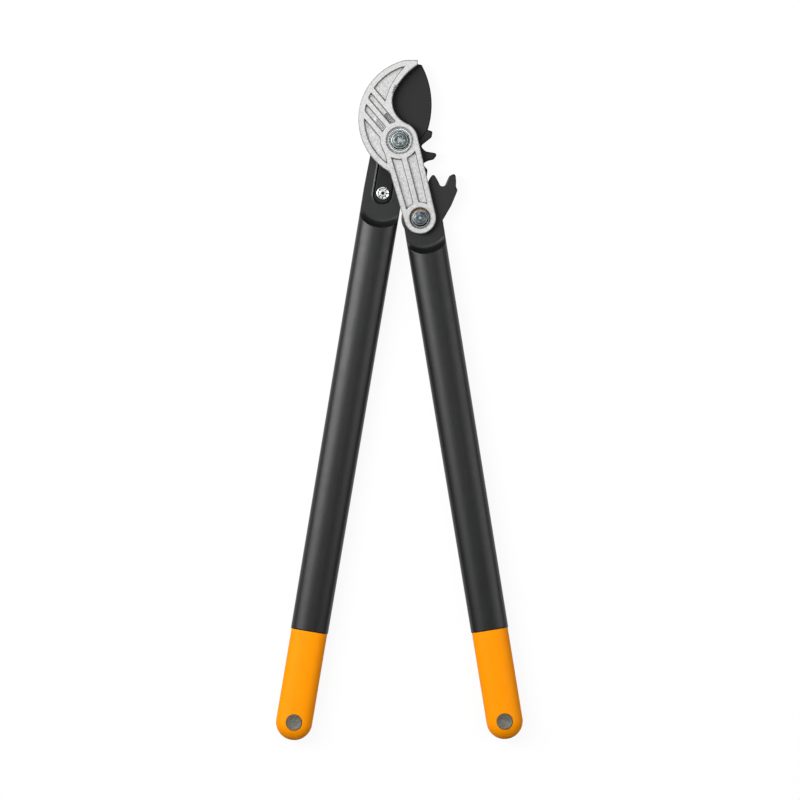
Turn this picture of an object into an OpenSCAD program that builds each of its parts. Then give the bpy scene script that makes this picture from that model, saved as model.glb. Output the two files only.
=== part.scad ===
// Geared anvil lopper, closed and lying on its back: blade tip to +Y, grips to -Y, front face up.
// The origin is on the main pivot's axis, in the plane that the tool rests on.
// The blade and the left handle turn as one about the main pivot. The right handle turns about the
// link pivot at the arm's end, and the teeth of its fork mesh with the teeth on the blade.

/* [Layout] */
// Distance between the main pivot and the link pivot
pivot_span = 80.2; // [79:0.1:83]
// Lean of the arm from the tool's axis, degrees
arm_lean = 14.9; // [14:0.1:16]
// Lean of each handle from the tool's axis, degrees
handle_lean = 9.4; // [9:0.1:10.5]
// Distance from the main pivot to the tang screw
tang_reach = 55.2; // [54:0.1:57]
// Lean of the tang screw from the tool's axis, degrees
tang_lean = 17.5; // [17:0.1:18.5]
// Distance of the right handle's axis from the link pivot
link_offset = 2.5; // [1.5:0.1:3.5]

/* [Layers] */
// Height of the backs of the necks above the rest plane
neck_back = 3.5; // [2.5:0.1:4.5]
// Thickness of the necks
neck_t = 12.9; // [12.5:0.1:15]
// Height of the back of the blade above the rest plane
blade_back = 10.5; // [9.5:0.1:10.8]
// Thickness of the blade
blade_t = 4.5; // [3.8:0.1:5]
// Thickness of the casting
casting_t = 9.1; // [8.5:0.1:12]
// Gap between pieces that pass over each other
pass_gap = 0.5; // [0.35:0.05:0.8]
// Running gap between a turning face and its washer
run_gap = 0.3; // [0.2:0.05:0.5]
// Radial clearance of a shaft in its bore
bore_gap = 0.05; // [0.03:0.01:0.1]
// Clearance round a seated piece
seat_gap = 0.15; // [0.1:0.01:0.3]

/* [Hook] */
// Radius of the hook's outer edge
hook_r = 60.4; // [58:0.1:63]
// Centre of the hook's outer edge, to the right of the main pivot
hook_x = 19.2; // [17:0.1:21]
// Centre of the hook's outer edge, above the main pivot
hook_y = 21.3; // [19:0.1:23]
// Radius of the anvil's upper edge
anvil_r = 69; // [67:0.1:71]
// Centre of the anvil's upper edge, to the right of the main pivot
anvil_x = 56.4; // [55:0.1:58]
// Centre of the anvil's upper edge, above the main pivot
anvil_y = 18.3; // [17:0.1:19]
// Radius of the throat below the anvil
throat_r = 24.4; // [22:0.1:27]
// Right edge of the hook's tip, from the main pivot
tip_x = 18; // [16:0.1:20]
// Top of the hook's tip, above the main pivot
tip_y = 80.2; // [78:0.1:80.5]
// Width of the anvil wall behind the hook
anvil_w = 8; // [6:0.1:9]
// Height of the back of the anvil wall above the rest plane
anvil_back = 6; // [4:0.1:8]
// Depth of the groove that takes the blade's edge
groove_d = 2; // [1:0.1:3]
// Clearance of the blade in the groove
groove_gap = 0.4; // [0.3:0.05:0.6]

/* [Arm] */
// Radius of the boss at the main pivot
boss_r = 18.3; // [17.5:0.1:19.5]
// Radius of the arm's end at the link pivot
arm_end_r = 15.9; // [15:0.1:17]
// Radius of the corner between the hook and the arm
chin_r = 7; // [5:0.1:9]
// Depth of the casting's pockets
pocket_d = 3.2; // [2.5:0.1:5]
// Draft of the pocket walls, from rim to floor
pocket_draft = 1; // [0.6:0.1:1.5]
// Border between the hook's outer edge and its pockets
hook_border = 6; // [5:0.1:7]
// Border between the anvil's edge and the first pocket
anvil_border = 4.6; // [4:0.1:6.5]
// Border between the arm's edge and its pockets
arm_border = 5.6; // [4.5:0.1:6.5]
// Width of the ribs across the hook
rib_w = 5.4; // [4:0.1:6]
// Width of the slots between those ribs
slot_w = 5.5; // [5:0.1:6.5]
// Distance of the first rib's upper side from the main pivot
rib_start = 14.4; // [13:0.1:16]
// Direction of those ribs, degrees
rib_turn = -49.5; // [-53:0.5:-46]
// Width of the rib along the arm
arm_rib_w = 5.6; // [4:0.1:7]
// Land round the boss before the pockets
boss_land = 0.7; // [0.5:0.1:2]
// Radius of the land round the link pivot
link_land_r = 15.9; // [14:0.1:17]

/* [Blade] */
// Radius of the blade's spine
spine_r = 84; // [80:0.5:88]
// Furthest reach of the spine to the right of the main pivot
spine_x = 32; // [31:0.1:33]
// Height of that point above the main pivot
spine_y = 36; // [34:0.1:38]
// Height of the blade's tip above the main pivot
blade_tip_y = 75.9; // [74:0.1:77]
// Radius of the blade's hub
hub_r = 21.5; // [20:0.1:22]
// Width of the ground bevel along the cutting edge
bevel_w = 9; // [5:0.1:12]
// Thickness left at the cutting edge
edge_t = 0.5; // [0.3:0.1:1]
// Depth by which the blade's front is ground down above its teeth
grind_d = 0.6; // [0.3:0.1:1]
// Half width of the tang
tang_r = 9.2; // [8.6:0.1:9.6]
// Distance of the tang's round end below its screw
tang_sink = 1.4; // [1:0.1:2]

/* [Handles] */
// Width of a handle's tube at its neck
tube_w = 39.5; // [38:0.1:40.5]
// Width of a handle's tube at its grip
tube_end_w = 37.6; // [37:0.1:39]
// Front to back of a handle's tube
tube_d = 26; // [24:0.1:29]
// Front to back of a handle's tube at its grip
tube_end_d = 25; // [24.8:0.1:26]
// Wall of a tube
tube_wall = 4; // [3:0.1:5]
// Distance from the tang screw to the left grip
left_tube_l = 444; // [400:1:480]
// Distance from the link pivot to the right grip
right_tube_l = 417.7; // [380:1:460]
// Distance from the tang screw to the left tube's full front
left_drop = 34; // [32:0.1:40]
// Distance from the link pivot to the right tube's full front
right_drop = 35.6; // [34:0.1:40]
// Radius of the curve in which the neck's flat ends
scoop_r = 26.5; // [25.5:0.1:28]
// Run of the sloping wall at the end of that flat
scoop_run = 5.5; // [3:0.1:7]
// Distance by which the neck's flat back stops short of its flat front
back_short = 8; // [5:0.5:12]
// Radius of the right handle's head
head_r = 18.7; // [18:0.1:19.2]

/* [Grips] */
// Width of a grip
grip_w = 36.3; // [35:0.1:37]
// Front to back of a grip
grip_d = 24.4; // [24:0.1:24.7]
// Wall of a grip
grip_wall = 4; // [3:0.1:5]
// Distance from a grip's upper edge to its pin
grip_l = 92.2; // [80:0.1:110]
// Radius of a grip pin
grip_pin_r = 8; // [6:0.1:9]
// Depth of a grip pin's faces below the grip
grip_pin_sink = 0.5; // [0.3:0.1:1]

/* [Fasteners] */
// Radius of the main pivot bolt's shank
bolt_r = 5; // [4:0.1:5.5]
// Radius of its head
bolt_head_r = 8.5; // [8:0.1:9]
// Height of its head
bolt_head_h = 3.6; // [3:0.1:4.5]
// Radius of the recess in the boss
boss_recess_r = 13.2; // [12.8:0.1:14]
// Depth of that recess
boss_recess_d = 3.4; // [3:0.1:4]
// Radius of the washer in it
pivot_washer_r = 12; // [11:0.1:12.6]
// Thickness of that washer
pivot_washer_t = 1.8; // [1.2:0.1:2.2]
// Radius of the thrust washers
thrust_r = 13; // [11:0.1:15]
// Thickness of the rear thrust washer
rear_washer_t = 2; // [1.5:0.1:3]
// Width across the flats of the main pivot's nut
pivot_nut_w = 17; // [16:0.5:19]
// Floor of that closed nut
nut_floor = 1; // [0.8:0.1:2]
// Wall of the bearing sleeve in the blade
blade_bush_wall = 2; // [1.5:0.1:3]
// Radius of the link bolt's shank
link_bolt_r = 4; // [3.5:0.1:4.5]
// Radius of its head
link_head_r = 7.4; // [7:0.1:7.8]
// Height of its head
link_head_h = 3; // [2.5:0.1:3.5]
// Radius of the recess in the arm's end
link_recess_r = 10.4; // [10:0.1:11]
// Depth of that recess
link_recess_d = 4.2; // [3.5:0.1:4.6]
// Thickness of the bronze bush's flange
link_flange_t = 1.6; // [1.2:0.1:2]
// Wall of the bronze bush
link_bush_wall = 2; // [1.5:0.1:2.5]
// Radius of the steel washer under the link bolt's head
link_washer_r = 8.8; // [8.4:0.1:9.4]
// Thickness of the link washers
link_washer_t = 1.2; // [0.8:0.1:1.6]
// Radius of the counterbore behind the right neck
link_well_r = 9.8; // [9.4:0.1:10.5]
// Depth of that counterbore
link_well_d = 6; // [5:0.1:7]
// Width across the flats of the link nut
link_nut_w = 13; // [12:0.5:14]
// Height of the link nut
link_nut_h = 6; // [4.5:0.1:6.5]
// Radius of the tang screw's shank
tang_screw_r = 3; // [2.5:0.1:3.5]
// Radius of its head
tang_head_r = 6.4; // [6:0.1:7]
// Height of its head
tang_head_h = 2.2; // [1.5:0.1:3]
// Width across the flats of the tang nut
tang_nut_w = 10; // [9:0.5:11]
// Height of the tang nut
tang_nut_h = 5; // [4:0.1:5.5]

/* [Hidden] */

// Facets of round pieces, of ovals, of drawn arcs, of rounded corners and of a grip's round end
$fn = 96;
oval_n = 48;
arc_n = 24;
corner_n = 6;
end_n = 9;
// Overrun of every cut
overrun = 1;
// Clearance of the left neck round the blade's hub
hub_gap = 2;
// Extra thickness of the right handle's head and fork, which the flats then take off
plate_over = 0.5;
// Share of a step by which a grip's round end stops short of a point
end_share = 0.3;
// Power that squares off an oval, as a share of an ellipse's own
oval_share = 0.8;
// Largest share of a side that a rounded corner takes
corner_share = 0.48;
// Depth of a driver recess as a share of its head's height, and its lobes as a share of its radius
recess_share = 0.6;
lobe_share = 0.28;
// Ends of the arm's pockets, as shares of the way from the main pivot to the link pivot
pocket_top_share = 0.25;
pocket_foot_share = 0.85;

// Layers
neck_front = neck_back + neck_t;
blade_front = blade_back + blade_t;
blade_mid = blade_back + blade_t / 2;
casting_back = neck_front + pass_gap;
casting_front = casting_back + casting_t;
boss_floor = casting_front - boss_recess_d;
link_floor = casting_front - link_recess_d;
link_well_top = neck_back + link_well_d;
tube_mid = tube_d / 2;

// Directions along the arm, to its right, out of its tapering left side, and across the hook's ribs
arm_dir = [sin(arm_lean), -cos(arm_lean)];
arm_side = [cos(arm_lean), sin(arm_lean)];
arm_fall = asin((boss_r - arm_end_r) / pivot_span);
arm_edge = -turned(arm_side, arm_fall);
rib_side = polar(1, rib_turn + 90);

// Places of the pivots, of the tang screw and of the arcs' centres
link_at = pivot_span * arm_dir;
tang_at = tang_reach * [-sin(tang_lean), -cos(tang_lean)];
hook_c = [hook_x, hook_y];
anvil_c = [anvil_x, anvil_y];
throat_c = meet([0, 0], boss_r + throat_r, anvil_c, anvil_r - throat_r);
throat_turn = heading(throat_c - anvil_c);
boss_turn = heading(-throat_c);
tip_turn = 180 - acos((anvil_x - tip_x) / anvil_r);
spine_c = [spine_x - spine_r, spine_y];

// Depth by which the blade's edge enters the groove
edge_bite = groove_d - groove_gap;

// Main pivot in the left handle's own frame
pivot_from_tang = turned(-tang_at, handle_lean);

// Angles about the throat's centre at which the anvil wall and the blade's edge end
wall_end_turn = 208;
edge_end_turn = 236;
// Angle about the spine's centre at which the spine starts, below the teeth's first point
spine_foot_turn = -17;

// Teeth on the blade: places from the main pivot and corner radii, as shares of the pivots' distance
blade_teeth_shares = [
    [-0.1, 0.05, 0], [0.3, 0.17, 0], [0.357, 0.135, 0.004], [0.412, 0.118, 0.01], [0.4, 0.045, 0.04],
    [0.262, -0.066, 0.03], [0.325, -0.132, 0.08], [0.48, -0.158, 0.025], [0.425, -0.232, 0.035],
    [0.352, -0.25, 0.04], [0.286, -0.286, 0.025], [0.35, -0.36, 0.04], [0.335, -0.49, 0.03],
    [0.25, -0.47, 0.03], [0.19, -0.4, 0.05], [0.06, -0.42, 0.05], [-0.06, -0.5, 0]];
// Line along which the blade's front is ground down: two points, as shares of the pivots' distance
grind_shares = [[0.36, 0.16], [0.24, 0.002]];
// Fork on the right neck: places from the link pivot and corner radii, as shares of the same
fork_shares = [
    [0.1, -0.12, 0], [-0.2, 0.1, 0.02], [-0.165, 0.5, 0.045], [-0.075, 0.51, 0.045], [-0.01, 0.405, 0.05],
    [0.08, 0.415, 0.04], [0.115, 0.49, 0.045], [0.165, 0.563, 0.045], [0.215, 0.48, 0.045],
    [0.255, 0.4, 0.03], [0.305, 0.4, 0.03], [0.36, 0.525, 0.05], [0.44, 0.568, 0.045],
    [0.45, 0.46, 0.04], [0.447, 0.4, 0.04], [0.468, 0.35, 0.02], [0.392, 0.165, 0.2],
    [0.285, -0.02, 0.01]];

// Left neck above its screw: its corners in the handle's frame, as shares of the tube's width
left_neck_shares = [
    [-0.6, -0.6], [-0.51, -0.3], [-0.475, 0.92], [0.2, 0.92], [0.2, 0.34], [0.5, -0.25], [0.6, -0.6]];

// Vector from a length and an angle, a vector's angle from 0 to 360, and a vector turned
function polar(r, a) = [r * cos(a), r * sin(a)];
function heading(v) = (atan2(v[1], v[0]) + 360) % 360;
function turned(v, a) = [v[0] * cos(a) - v[1] * sin(a), v[0] * sin(a) + v[1] * cos(a)];
function unit(v) = v / norm(v);

// Left-hand point at which two circles meet
function meet(c0, r0, c1, r1) =
    let (d = norm(c1 - c0), a = (d * d + r0 * r0 - r1 * r1) / (2 * d), h = sqrt(r0 * r0 - a * a))
    c0 + unit(c1 - c0) * a + turned(unit(c1 - c0), 90) * h;

// Points along an arc, and along the short arc between two points at one distance from its centre
function arc(c, r, a0, a1, n = arc_n) = [for (i = [0 : n]) c + polar(r, a0 + (a1 - a0) * i / n)];
function arc_between(c, p, q, n = arc_n) =
    let (a = heading(p - c), turn = (heading(q - c) - a + 540) % 360 - 180)
    arc(c, norm(p - c), a, a + turn, n);
// A list the other way round, a list without its first member, and an arc without its first point
function reversed(list) = [for (i = [len(list) - 1 : -1 : 0]) list[i]];
function rest(list) = [for (i = [1 : len(list) - 1]) list[i]];
function arc_on(c, r, a0, a1) = rest(arc(c, r, a0, a1));

// Arc that rounds corner q between its neighbours p and t, no wider than its sides allow
function corner(p, q, t, r) =
    let (u = unit(p - q), v = unit(t - q), half = acos(u * v) / 2,
         cut = min(r / tan(half), corner_share * min(norm(p - q), norm(t - q))),
         c = q + unit(u + v) * cut / cos(half))
    r == 0 ? [q] : arc_between(c, q + u * cut, q + v * cut, corner_n);
// Outline through a table of places and corner radii
function rounded(shares, size) =
    let (n = len(shares), at = [for (s = shares) [s[0], s[1]] * size])
    [for (i = [0 : n - 1])
        each corner(at[(i + n - 1) % n], at[i], at[(i + 1) % n], shares[i][2] * size)];

// Closed oval of a given width and depth
function squared(v) = sign(v) * pow(abs(v), oval_share);
function oval(w, d) =
    [for (i = [0 : oval_n - 1])
        let (a = 360 * i / oval_n) [w * squared(cos(a)), d * squared(sin(a))] / 2];

// Edge of the anvil and throat, set back into the casting by a given amount
function anvil_edge(back, from, to) =
    concat(arc(anvil_c, anvil_r + back, from, throat_turn),
           arc_on(throat_c, throat_r + back, throat_turn, to));
// Outline of the blade's leaf, from its tip down its edge to the pivot and up its spine
function leaf(back) =
    let (tip_rise = blade_tip_y - spine_y, tip = asin(tip_rise / spine_r))
    concat(anvil_edge(back, tip_turn, edge_end_turn), [[0, 0]],
           arc(spine_c, spine_r, spine_foot_turn, tip));

// Point on a circle at distance d from the main pivot along unit vector n, on the side to n's left
function on_circle(c, r, n, d) =
    let (along = turned(n, 90), aside = d - c * n)
    d * n + (c * along + sqrt(r * r - aside * aside)) * along;

// Half width of the arm at a given share of the way from the main pivot to the link pivot
function arm_half(share) = boss_r + (arm_end_r - boss_r) * share;

// Outlines of the casting's pockets, narrowed all round by e
function tip_pocket(e) =
    let (ro = hook_r - hook_border - e, ri = anvil_r + anvil_border + e,
         foot = rib_start + e, top = meet(hook_c, ro, anvil_c, ri),
         left = on_circle(hook_c, ro, rib_side, foot), right = on_circle(anvil_c, ri, rib_side, foot))
    concat(arc_between(hook_c, top, left), reversed(rest(arc_between(anvil_c, top, right))));
function slot_pocket(i, e) =
    let (ro = hook_r - hook_border - e, rb = boss_r + boss_land + e,
         upper = rib_start - rib_w - i * (rib_w + slot_w) - e, lower = upper - slot_w + 2 * e)
    concat(arc_between(hook_c, on_circle(hook_c, ro, rib_side, upper),
                       on_circle(hook_c, ro, rib_side, lower)),
           arc_between([0, 0], on_circle([0, 0], rb, rib_side, lower),
                       on_circle([0, 0], rb, rib_side, upper)));
function chin_pocket(e) =
    let (ro = hook_r - hook_border - e, rb = boss_r + boss_land + e,
         upper = rib_start - rib_w - 2 * (rib_w + slot_w) - e,
         start = on_circle(hook_c, ro, rib_side, upper),
         foot = on_circle(hook_c, ro, -arm_side, boss_r - boss_land + e))
    concat(arc_between(hook_c, start, foot), [on_circle([0, 0], rb, rib_side, upper)]);
function arm_pocket(side, e) =
    let (rb = boss_r + boss_land + e, rl = link_land_r + e, inner = arm_rib_w / 2 + e,
         top = arm_half(pocket_top_share) - arm_border - e,
         foot = arm_half(pocket_foot_share) - arm_border - e,
         down = function(r, x) sqrt(r * r - x * x),
         a = inner * side * arm_side + down(rb, inner) * arm_dir,
         b = top * side * arm_side + down(rb, top) * arm_dir,
         c = foot * side * arm_side + (pivot_span - down(rl, foot)) * arm_dir,
         d = inner * side * arm_side + (pivot_span - down(rl, inner)) * arm_dir,
         loop = concat(arc_between([0, 0], a, b), arc_between(link_at, c, d)))
    side > 0 ? reversed(loop) : loop;

// Flat outline at a given height
function raised(loop, z) = [for (p = loop) [p[0], p[1], z]];

// Closed solid through a row of like rings, each of which runs clockwise seen from before the first
module loft(rings) {
    n = len(rings[0]);
    last = len(rings) - 1;
    sides = [for (k = [0 : last - 1], i = [0 : n - 1])
        [k * n + i, (k + 1) * n + i, (k + 1) * n + (i + 1) % n, k * n + (i + 1) % n]];
    first_cap = [for (i = [0 : n - 1]) i];
    last_cap = [for (i = [n - 1 : -1 : 0]) last * n + i];
    polyhedron([for (ring = rings) each ring], concat([first_cap], sides, [last_cap]));
}

// One pocket from its outlines at the casting's front and at its floor; its walls lean out past the rim
module pocket(rim, floor_loop) {
    rise = (overrun / pocket_d) * (rim - floor_loop);
    loft([raised(floor_loop, casting_front - pocket_d), raised(rim + rise, casting_front + overrun)]);
}

// Frames of the two handles, whose tubes run along -Y
module at_left() translate(tang_at) rotate(-handle_lean) children();
module at_right() translate(link_at) rotate(handle_lean) translate([link_offset, 0]) children();

// Closed oval bar down a handle, through stations of [distance, width, depth]
module oval_bar(stations)
    loft([for (s = stations) [for (p = oval(s[1], s[2])) [p[0], -s[0], tube_mid + p[1]]]]);

// Flat taken out of a tube's front or back down to a round, sloping end
module scoop(drop, reach, narrow, wide, h) {
    translate([0, scoop_r - drop, 0]) {
        cylinder(h = h, r1 = narrow, r2 = wide);
        translate([-tube_w, 0, 0]) cube([2 * tube_w, reach, h]);
    }
}

// Tube of one handle with its tenon for the grip, and with flats cut through it and its children
module handle_tube(rise, reach, drop, tube_l) {
    front_h = tube_d - neck_front + overrun;
    back_h = neck_back + overrun;
    slope = scoop_run / (tube_d - neck_front);
    thick = 2 * tube_wall;
    tenon_w = grip_w - 2 * grip_wall - 2 * seat_gap;
    tenon_d = grip_d - 2 * grip_wall - 2 * seat_gap;
    tenon_end = tube_l + grip_l + grip_pin_r + grip_wall;
    difference() {
        union() {
            oval_bar([[-rise, tube_w, tube_d], [tube_l, tube_end_w, tube_end_d],
                      [tube_l, tenon_w, tenon_d], [tenon_end, tenon_w, tenon_d]]);
            children();
        }
        translate([0, 0, neck_front])
            scoop(drop, drop + reach, scoop_r - scoop_run, scoop_r - scoop_run + front_h * slope,
                  front_h);
        translate([0, 0, neck_back - back_h])
            scoop(drop - back_short, drop + reach, scoop_r, scoop_r - back_h * slope, back_h);
        oval_bar([[drop + scoop_r, tube_w - thick, tube_d - thick],
                  [tube_l - scoop_r, tube_end_w - thick, tube_end_d - thick],
                  [tube_l - scoop_r, tenon_w - thick, tenon_d - thick],
                  [tenon_end + overrun, tenon_w - thick, tenon_d - thick]]);
        translate([0, -tube_l - grip_l, 0]) cylinder(h = tube_d, r = grip_pin_r + bore_gap);
    }
}

// Orange sleeve with a round end over a tube's tenon
module grip(tube_l) {
    bore_w = grip_w - 2 * grip_wall;
    bore_d = grip_d - 2 * grip_wall;
    difference() {
        oval_bar(concat([[tube_l, grip_w, grip_d]], [for (i = [0 : end_n])
            let (a = 90 * i / (end_n + end_share))
            [tube_l + grip_l + sin(a) * grip_w / 2, grip_w * cos(a), grip_d * cos(a)]]));
        oval_bar([[tube_l - overrun, bore_w, bore_d],
                  [tube_l + grip_l + grip_pin_r + grip_wall + seat_gap, bore_w, bore_d]]);
        translate([0, -tube_l - grip_l, 0]) cylinder(h = tube_d, r = grip_pin_r + bore_gap);
    }
}

// Pin through a grip and its tenon
module grip_pin(tube_l)
    translate([0, -tube_l - grip_l, tube_mid])
        cylinder(h = grip_d - 2 * grip_pin_sink, r = grip_pin_r, center = true);

// Flat ring, and hexagon of a given width across its flats
module ring(outer, inner, h) {
    difference() {
        cylinder(h = h, r = outer);
        translate([0, 0, -overrun]) cylinder(h = h + 2 * overrun, r = inner);
    }
}
module hexagon(w, h) cylinder(h = h, d = w / cos(30), $fn = 6);

// Six-lobed driver recess, cut down from z = 0
module star_recess(r, depth) {
    core_r = r * (1 - lobe_share);
    translate([0, 0, -depth]) {
        cylinder(h = depth + overrun, r = core_r);
        for (a = [0 : 60 : 300]) rotate(a)
            translate([core_r, 0, 0]) cylinder(h = depth + overrun, r = r * lobe_share);
    }
}

// Outline of the whole casting
module casting_outline() {
    right_edge = turned(arm_side, -arm_fall);
    foot = on_circle(hook_c, hook_r, arm_edge, boss_r);
    top_turn = 180 - asin((tip_y - hook_y) / hook_r);
    circle(boss_r);
    translate(link_at) circle(arm_end_r);
    polygon([boss_r * right_edge, link_at + arm_end_r * right_edge, link_at + arm_end_r * arm_edge,
             boss_r * arm_edge]);
    polygon(concat(arc(hook_c, hook_r, top_turn, heading(foot - hook_c)), [[0, 0]],
                   arc(throat_c, throat_r, boss_turn, throat_turn),
                   arc_on(anvil_c, anvil_r, throat_turn, tip_turn), [[tip_x, tip_y]]));
    chin_fillet();
}

// Hollow round in the corner between the hook's outer edge and the arm's left side
module chin_fillet() {
    c = on_circle(hook_c, hook_r + chin_r, arm_edge, boss_r + chin_r);
    at_hook = c + chin_r * unit(hook_c - c);
    polygon(concat([(c * arm_dir) * arm_dir], arc_between(c, at_hook, c - chin_r * arm_edge)));
}

// Wall behind the hook on which the blade's edge closes
module anvil_wall_outline(back) {
    inner = anvil_edge(0, tip_turn, wall_end_turn);
    outer = anvil_edge(back, tip_turn, wall_end_turn);
    polygon(concat(inner, reversed(outer)));
}

module anvil_arm() {
    color("gainsboro") difference() {
        union() {
            translate([0, 0, casting_back]) linear_extrude(casting_t) casting_outline();
            translate([0, 0, anvil_back]) linear_extrude(casting_back - anvil_back + casting_t / 2)
                intersection() {
                    anvil_wall_outline(anvil_w);
                    casting_outline();
                }
        }
        translate([0, 0, blade_back - groove_gap])
            linear_extrude(blade_t + 2 * groove_gap) anvil_wall_outline(groove_d);
        pocket(tip_pocket(0), tip_pocket(pocket_draft));
        for (i = [0, 1]) pocket(slot_pocket(i, 0), slot_pocket(i, pocket_draft));
        pocket(chin_pocket(0), chin_pocket(pocket_draft));
        for (side = [-1, 1]) pocket(arm_pocket(side, 0), arm_pocket(side, pocket_draft));
        translate([0, 0, boss_floor]) cylinder(h = boss_recess_d + overrun, r = boss_recess_r);
        translate([0, 0, casting_back - overrun]) cylinder(h = casting_t, r = bolt_r + bore_gap);
        translate(link_at) {
            translate([0, 0, link_floor]) cylinder(h = link_recess_d + overrun, r = link_recess_r);
            translate([0, 0, casting_back - overrun])
                cylinder(h = casting_t, r = link_bolt_r + link_bush_wall + 2 * bore_gap);
        }
    }
}

module pivot_washer()
    color("silver") translate([0, 0, boss_floor]) ring(pivot_washer_r, bolt_r + bore_gap, pivot_washer_t);

module pivot_bolt() {
    head_z = boss_floor + pivot_washer_t;
    color("lightsteelblue") difference() {
        union() {
            translate([0, 0, nut_floor]) cylinder(h = head_z - nut_floor, r = bolt_r);
            translate([0, 0, head_z]) cylinder(h = bolt_head_h, r = bolt_head_r);
        }
        translate([0, 0, head_z + bolt_head_h]) star_recess(bolt_head_r / 2, bolt_head_h * recess_share);
    }
}

module front_thrust_washer() {
    color("silver") translate([0, 0, blade_front + run_gap])
        ring(thrust_r, bolt_r + bore_gap, casting_back - blade_front - run_gap);
}

module rear_thrust_washer() {
    color("silver") translate([0, 0, blade_back - run_gap - rear_washer_t])
        ring(thrust_r, bolt_r + bore_gap, rear_washer_t);
}

module pivot_nut() {
    color("silver") difference() {
        hexagon(pivot_nut_w, blade_back - run_gap - rear_washer_t);
        translate([0, 0, nut_floor]) cylinder(h = blade_back, r = bolt_r + bore_gap);
    }
}

module link_bush() {
    r = link_bolt_r + bore_gap;
    color("peru") translate(link_at) {
        translate([0, 0, link_floor]) ring(link_recess_r - seat_gap, r, link_flange_t);
        translate([0, 0, casting_back]) ring(r + link_bush_wall, r, link_floor - casting_back);
    }
}

module link_washer() {
    color("silver") translate(link_at) translate([0, 0, link_floor + link_flange_t])
        ring(link_washer_r, link_bolt_r + bore_gap, link_washer_t);
}

module link_bolt() {
    head_z = link_floor + link_flange_t + link_washer_t;
    foot_z = link_well_top - run_gap - link_washer_t - link_nut_h;
    color("lightsteelblue") translate(link_at) difference() {
        union() {
            translate([0, 0, foot_z]) cylinder(h = head_z - foot_z, r = link_bolt_r);
            translate([0, 0, head_z]) cylinder(h = link_head_h, r = link_head_r);
        }
        translate([0, 0, head_z + link_head_h]) star_recess(link_head_r / 2, link_head_h * recess_share);
    }
}

module link_rear_washer() {
    color("silver") translate(link_at) translate([0, 0, link_well_top - run_gap - link_washer_t])
        ring(link_washer_r, link_bolt_r + bore_gap, link_washer_t);
}

module link_nut() {
    color("silver") translate(link_at)
        translate([0, 0, link_well_top - run_gap - link_washer_t - link_nut_h]) difference() {
            hexagon(link_nut_w, link_nut_h);
            translate([0, 0, -overrun]) cylinder(h = link_nut_h + 2 * overrun, r = link_bolt_r + bore_gap);
        }
}

module blade() {
    edge = leaf(edge_bite);
    face = leaf(edge_bite - bevel_w);
    color("#38383a") difference() {
        union() {
            loft([raised(face, blade_back), raised(edge, blade_mid - edge_t / 2),
                  raised(edge, blade_mid + edge_t / 2), raised(face, blade_front)]);
            translate([0, 0, blade_back]) {
                cylinder(h = blade_t, r = hub_r);
                linear_extrude(blade_t) polygon(rounded(blade_teeth_shares, pivot_span));
                at_left() linear_extrude(blade_t) tang_outline(tang_r);
            }
        }
        translate([0, 0, blade_front - grind_d]) linear_extrude(grind_d + overrun) ground_outline();
        translate([0, 0, blade_back - overrun])
            cylinder(h = blade_t + 2 * overrun, r = bolt_r + blade_bush_wall + 2 * bore_gap);
        at_left() translate([0, 0, blade_back - overrun])
            cylinder(h = blade_t + 2 * overrun, r = tang_screw_r + bore_gap);
    }
}

// Part of the blade's front that is ground down: all above a line, outside the boss
module ground_outline() {
    a = grind_shares[0] * pivot_span;
    b = grind_shares[1] * pivot_span;
    difference() {
        translate(b) rotate(heading(a - b)) translate([-pivot_span, 0]) square(2 * pivot_span);
        circle(boss_r);
    }
}

// Round-ended tang, from below its screw up to the hub, in the left handle's frame
module tang_outline(r) {
    translate([0, -tang_sink]) circle(r);
    translate([-r, -tang_sink]) square([2 * r, tang_sink + pivot_from_tang[1] - hub_r / 2]);
}

module blade_bush() {
    color("peru") translate([0, 0, blade_back])
        ring(bolt_r + bore_gap + blade_bush_wall, bolt_r + bore_gap, blade_t);
}

module left_handle() {
    rise = left_neck_shares[2][1] * tube_w;
    color("#3a3a3c") at_left() difference() {
        handle_tube(rise, rise, left_drop, left_tube_l);
        difference() {
            translate([-tube_w, left_neck_shares[5][1] * tube_w, -overrun])
                cube([2 * tube_w, 2 * tube_w, tube_d + 2 * overrun]);
            translate([0, 0, -2 * overrun]) linear_extrude(tube_d + 4 * overrun)
                polygon(left_neck_shares * tube_w);
        }
        translate([pivot_from_tang[0], pivot_from_tang[1], -overrun])
            cylinder(h = tube_d + 2 * overrun, r = hub_r + hub_gap);
        translate([0, 0, blade_back]) linear_extrude(tube_d) tang_outline(tang_r + seat_gap);
        translate([0, 0, -overrun]) cylinder(h = tube_d, r = tang_screw_r + bore_gap);
        translate([0, 0, neck_back - overrun])
            hexagon(tang_nut_w + 2 * seat_gap, tang_nut_h + overrun);
    }
}

module tang_screw() {
    color("white") at_left() difference() {
        union() {
            translate([0, 0, neck_back]) cylinder(h = blade_front - neck_back, r = tang_screw_r);
            translate([0, 0, blade_front]) cylinder(h = tang_head_h, r = tang_head_r);
        }
        translate([0, 0, blade_front + tang_head_h])
            star_recess(tang_head_r / 2, tang_head_h * recess_share);
    }
}

module tang_nut() {
    color("silver") at_left() translate([0, 0, neck_back]) difference() {
        hexagon(tang_nut_w, tang_nut_h);
        translate([0, 0, -overrun]) cylinder(h = tang_nut_h + 2 * overrun, r = tang_screw_r + bore_gap);
    }
}

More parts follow.
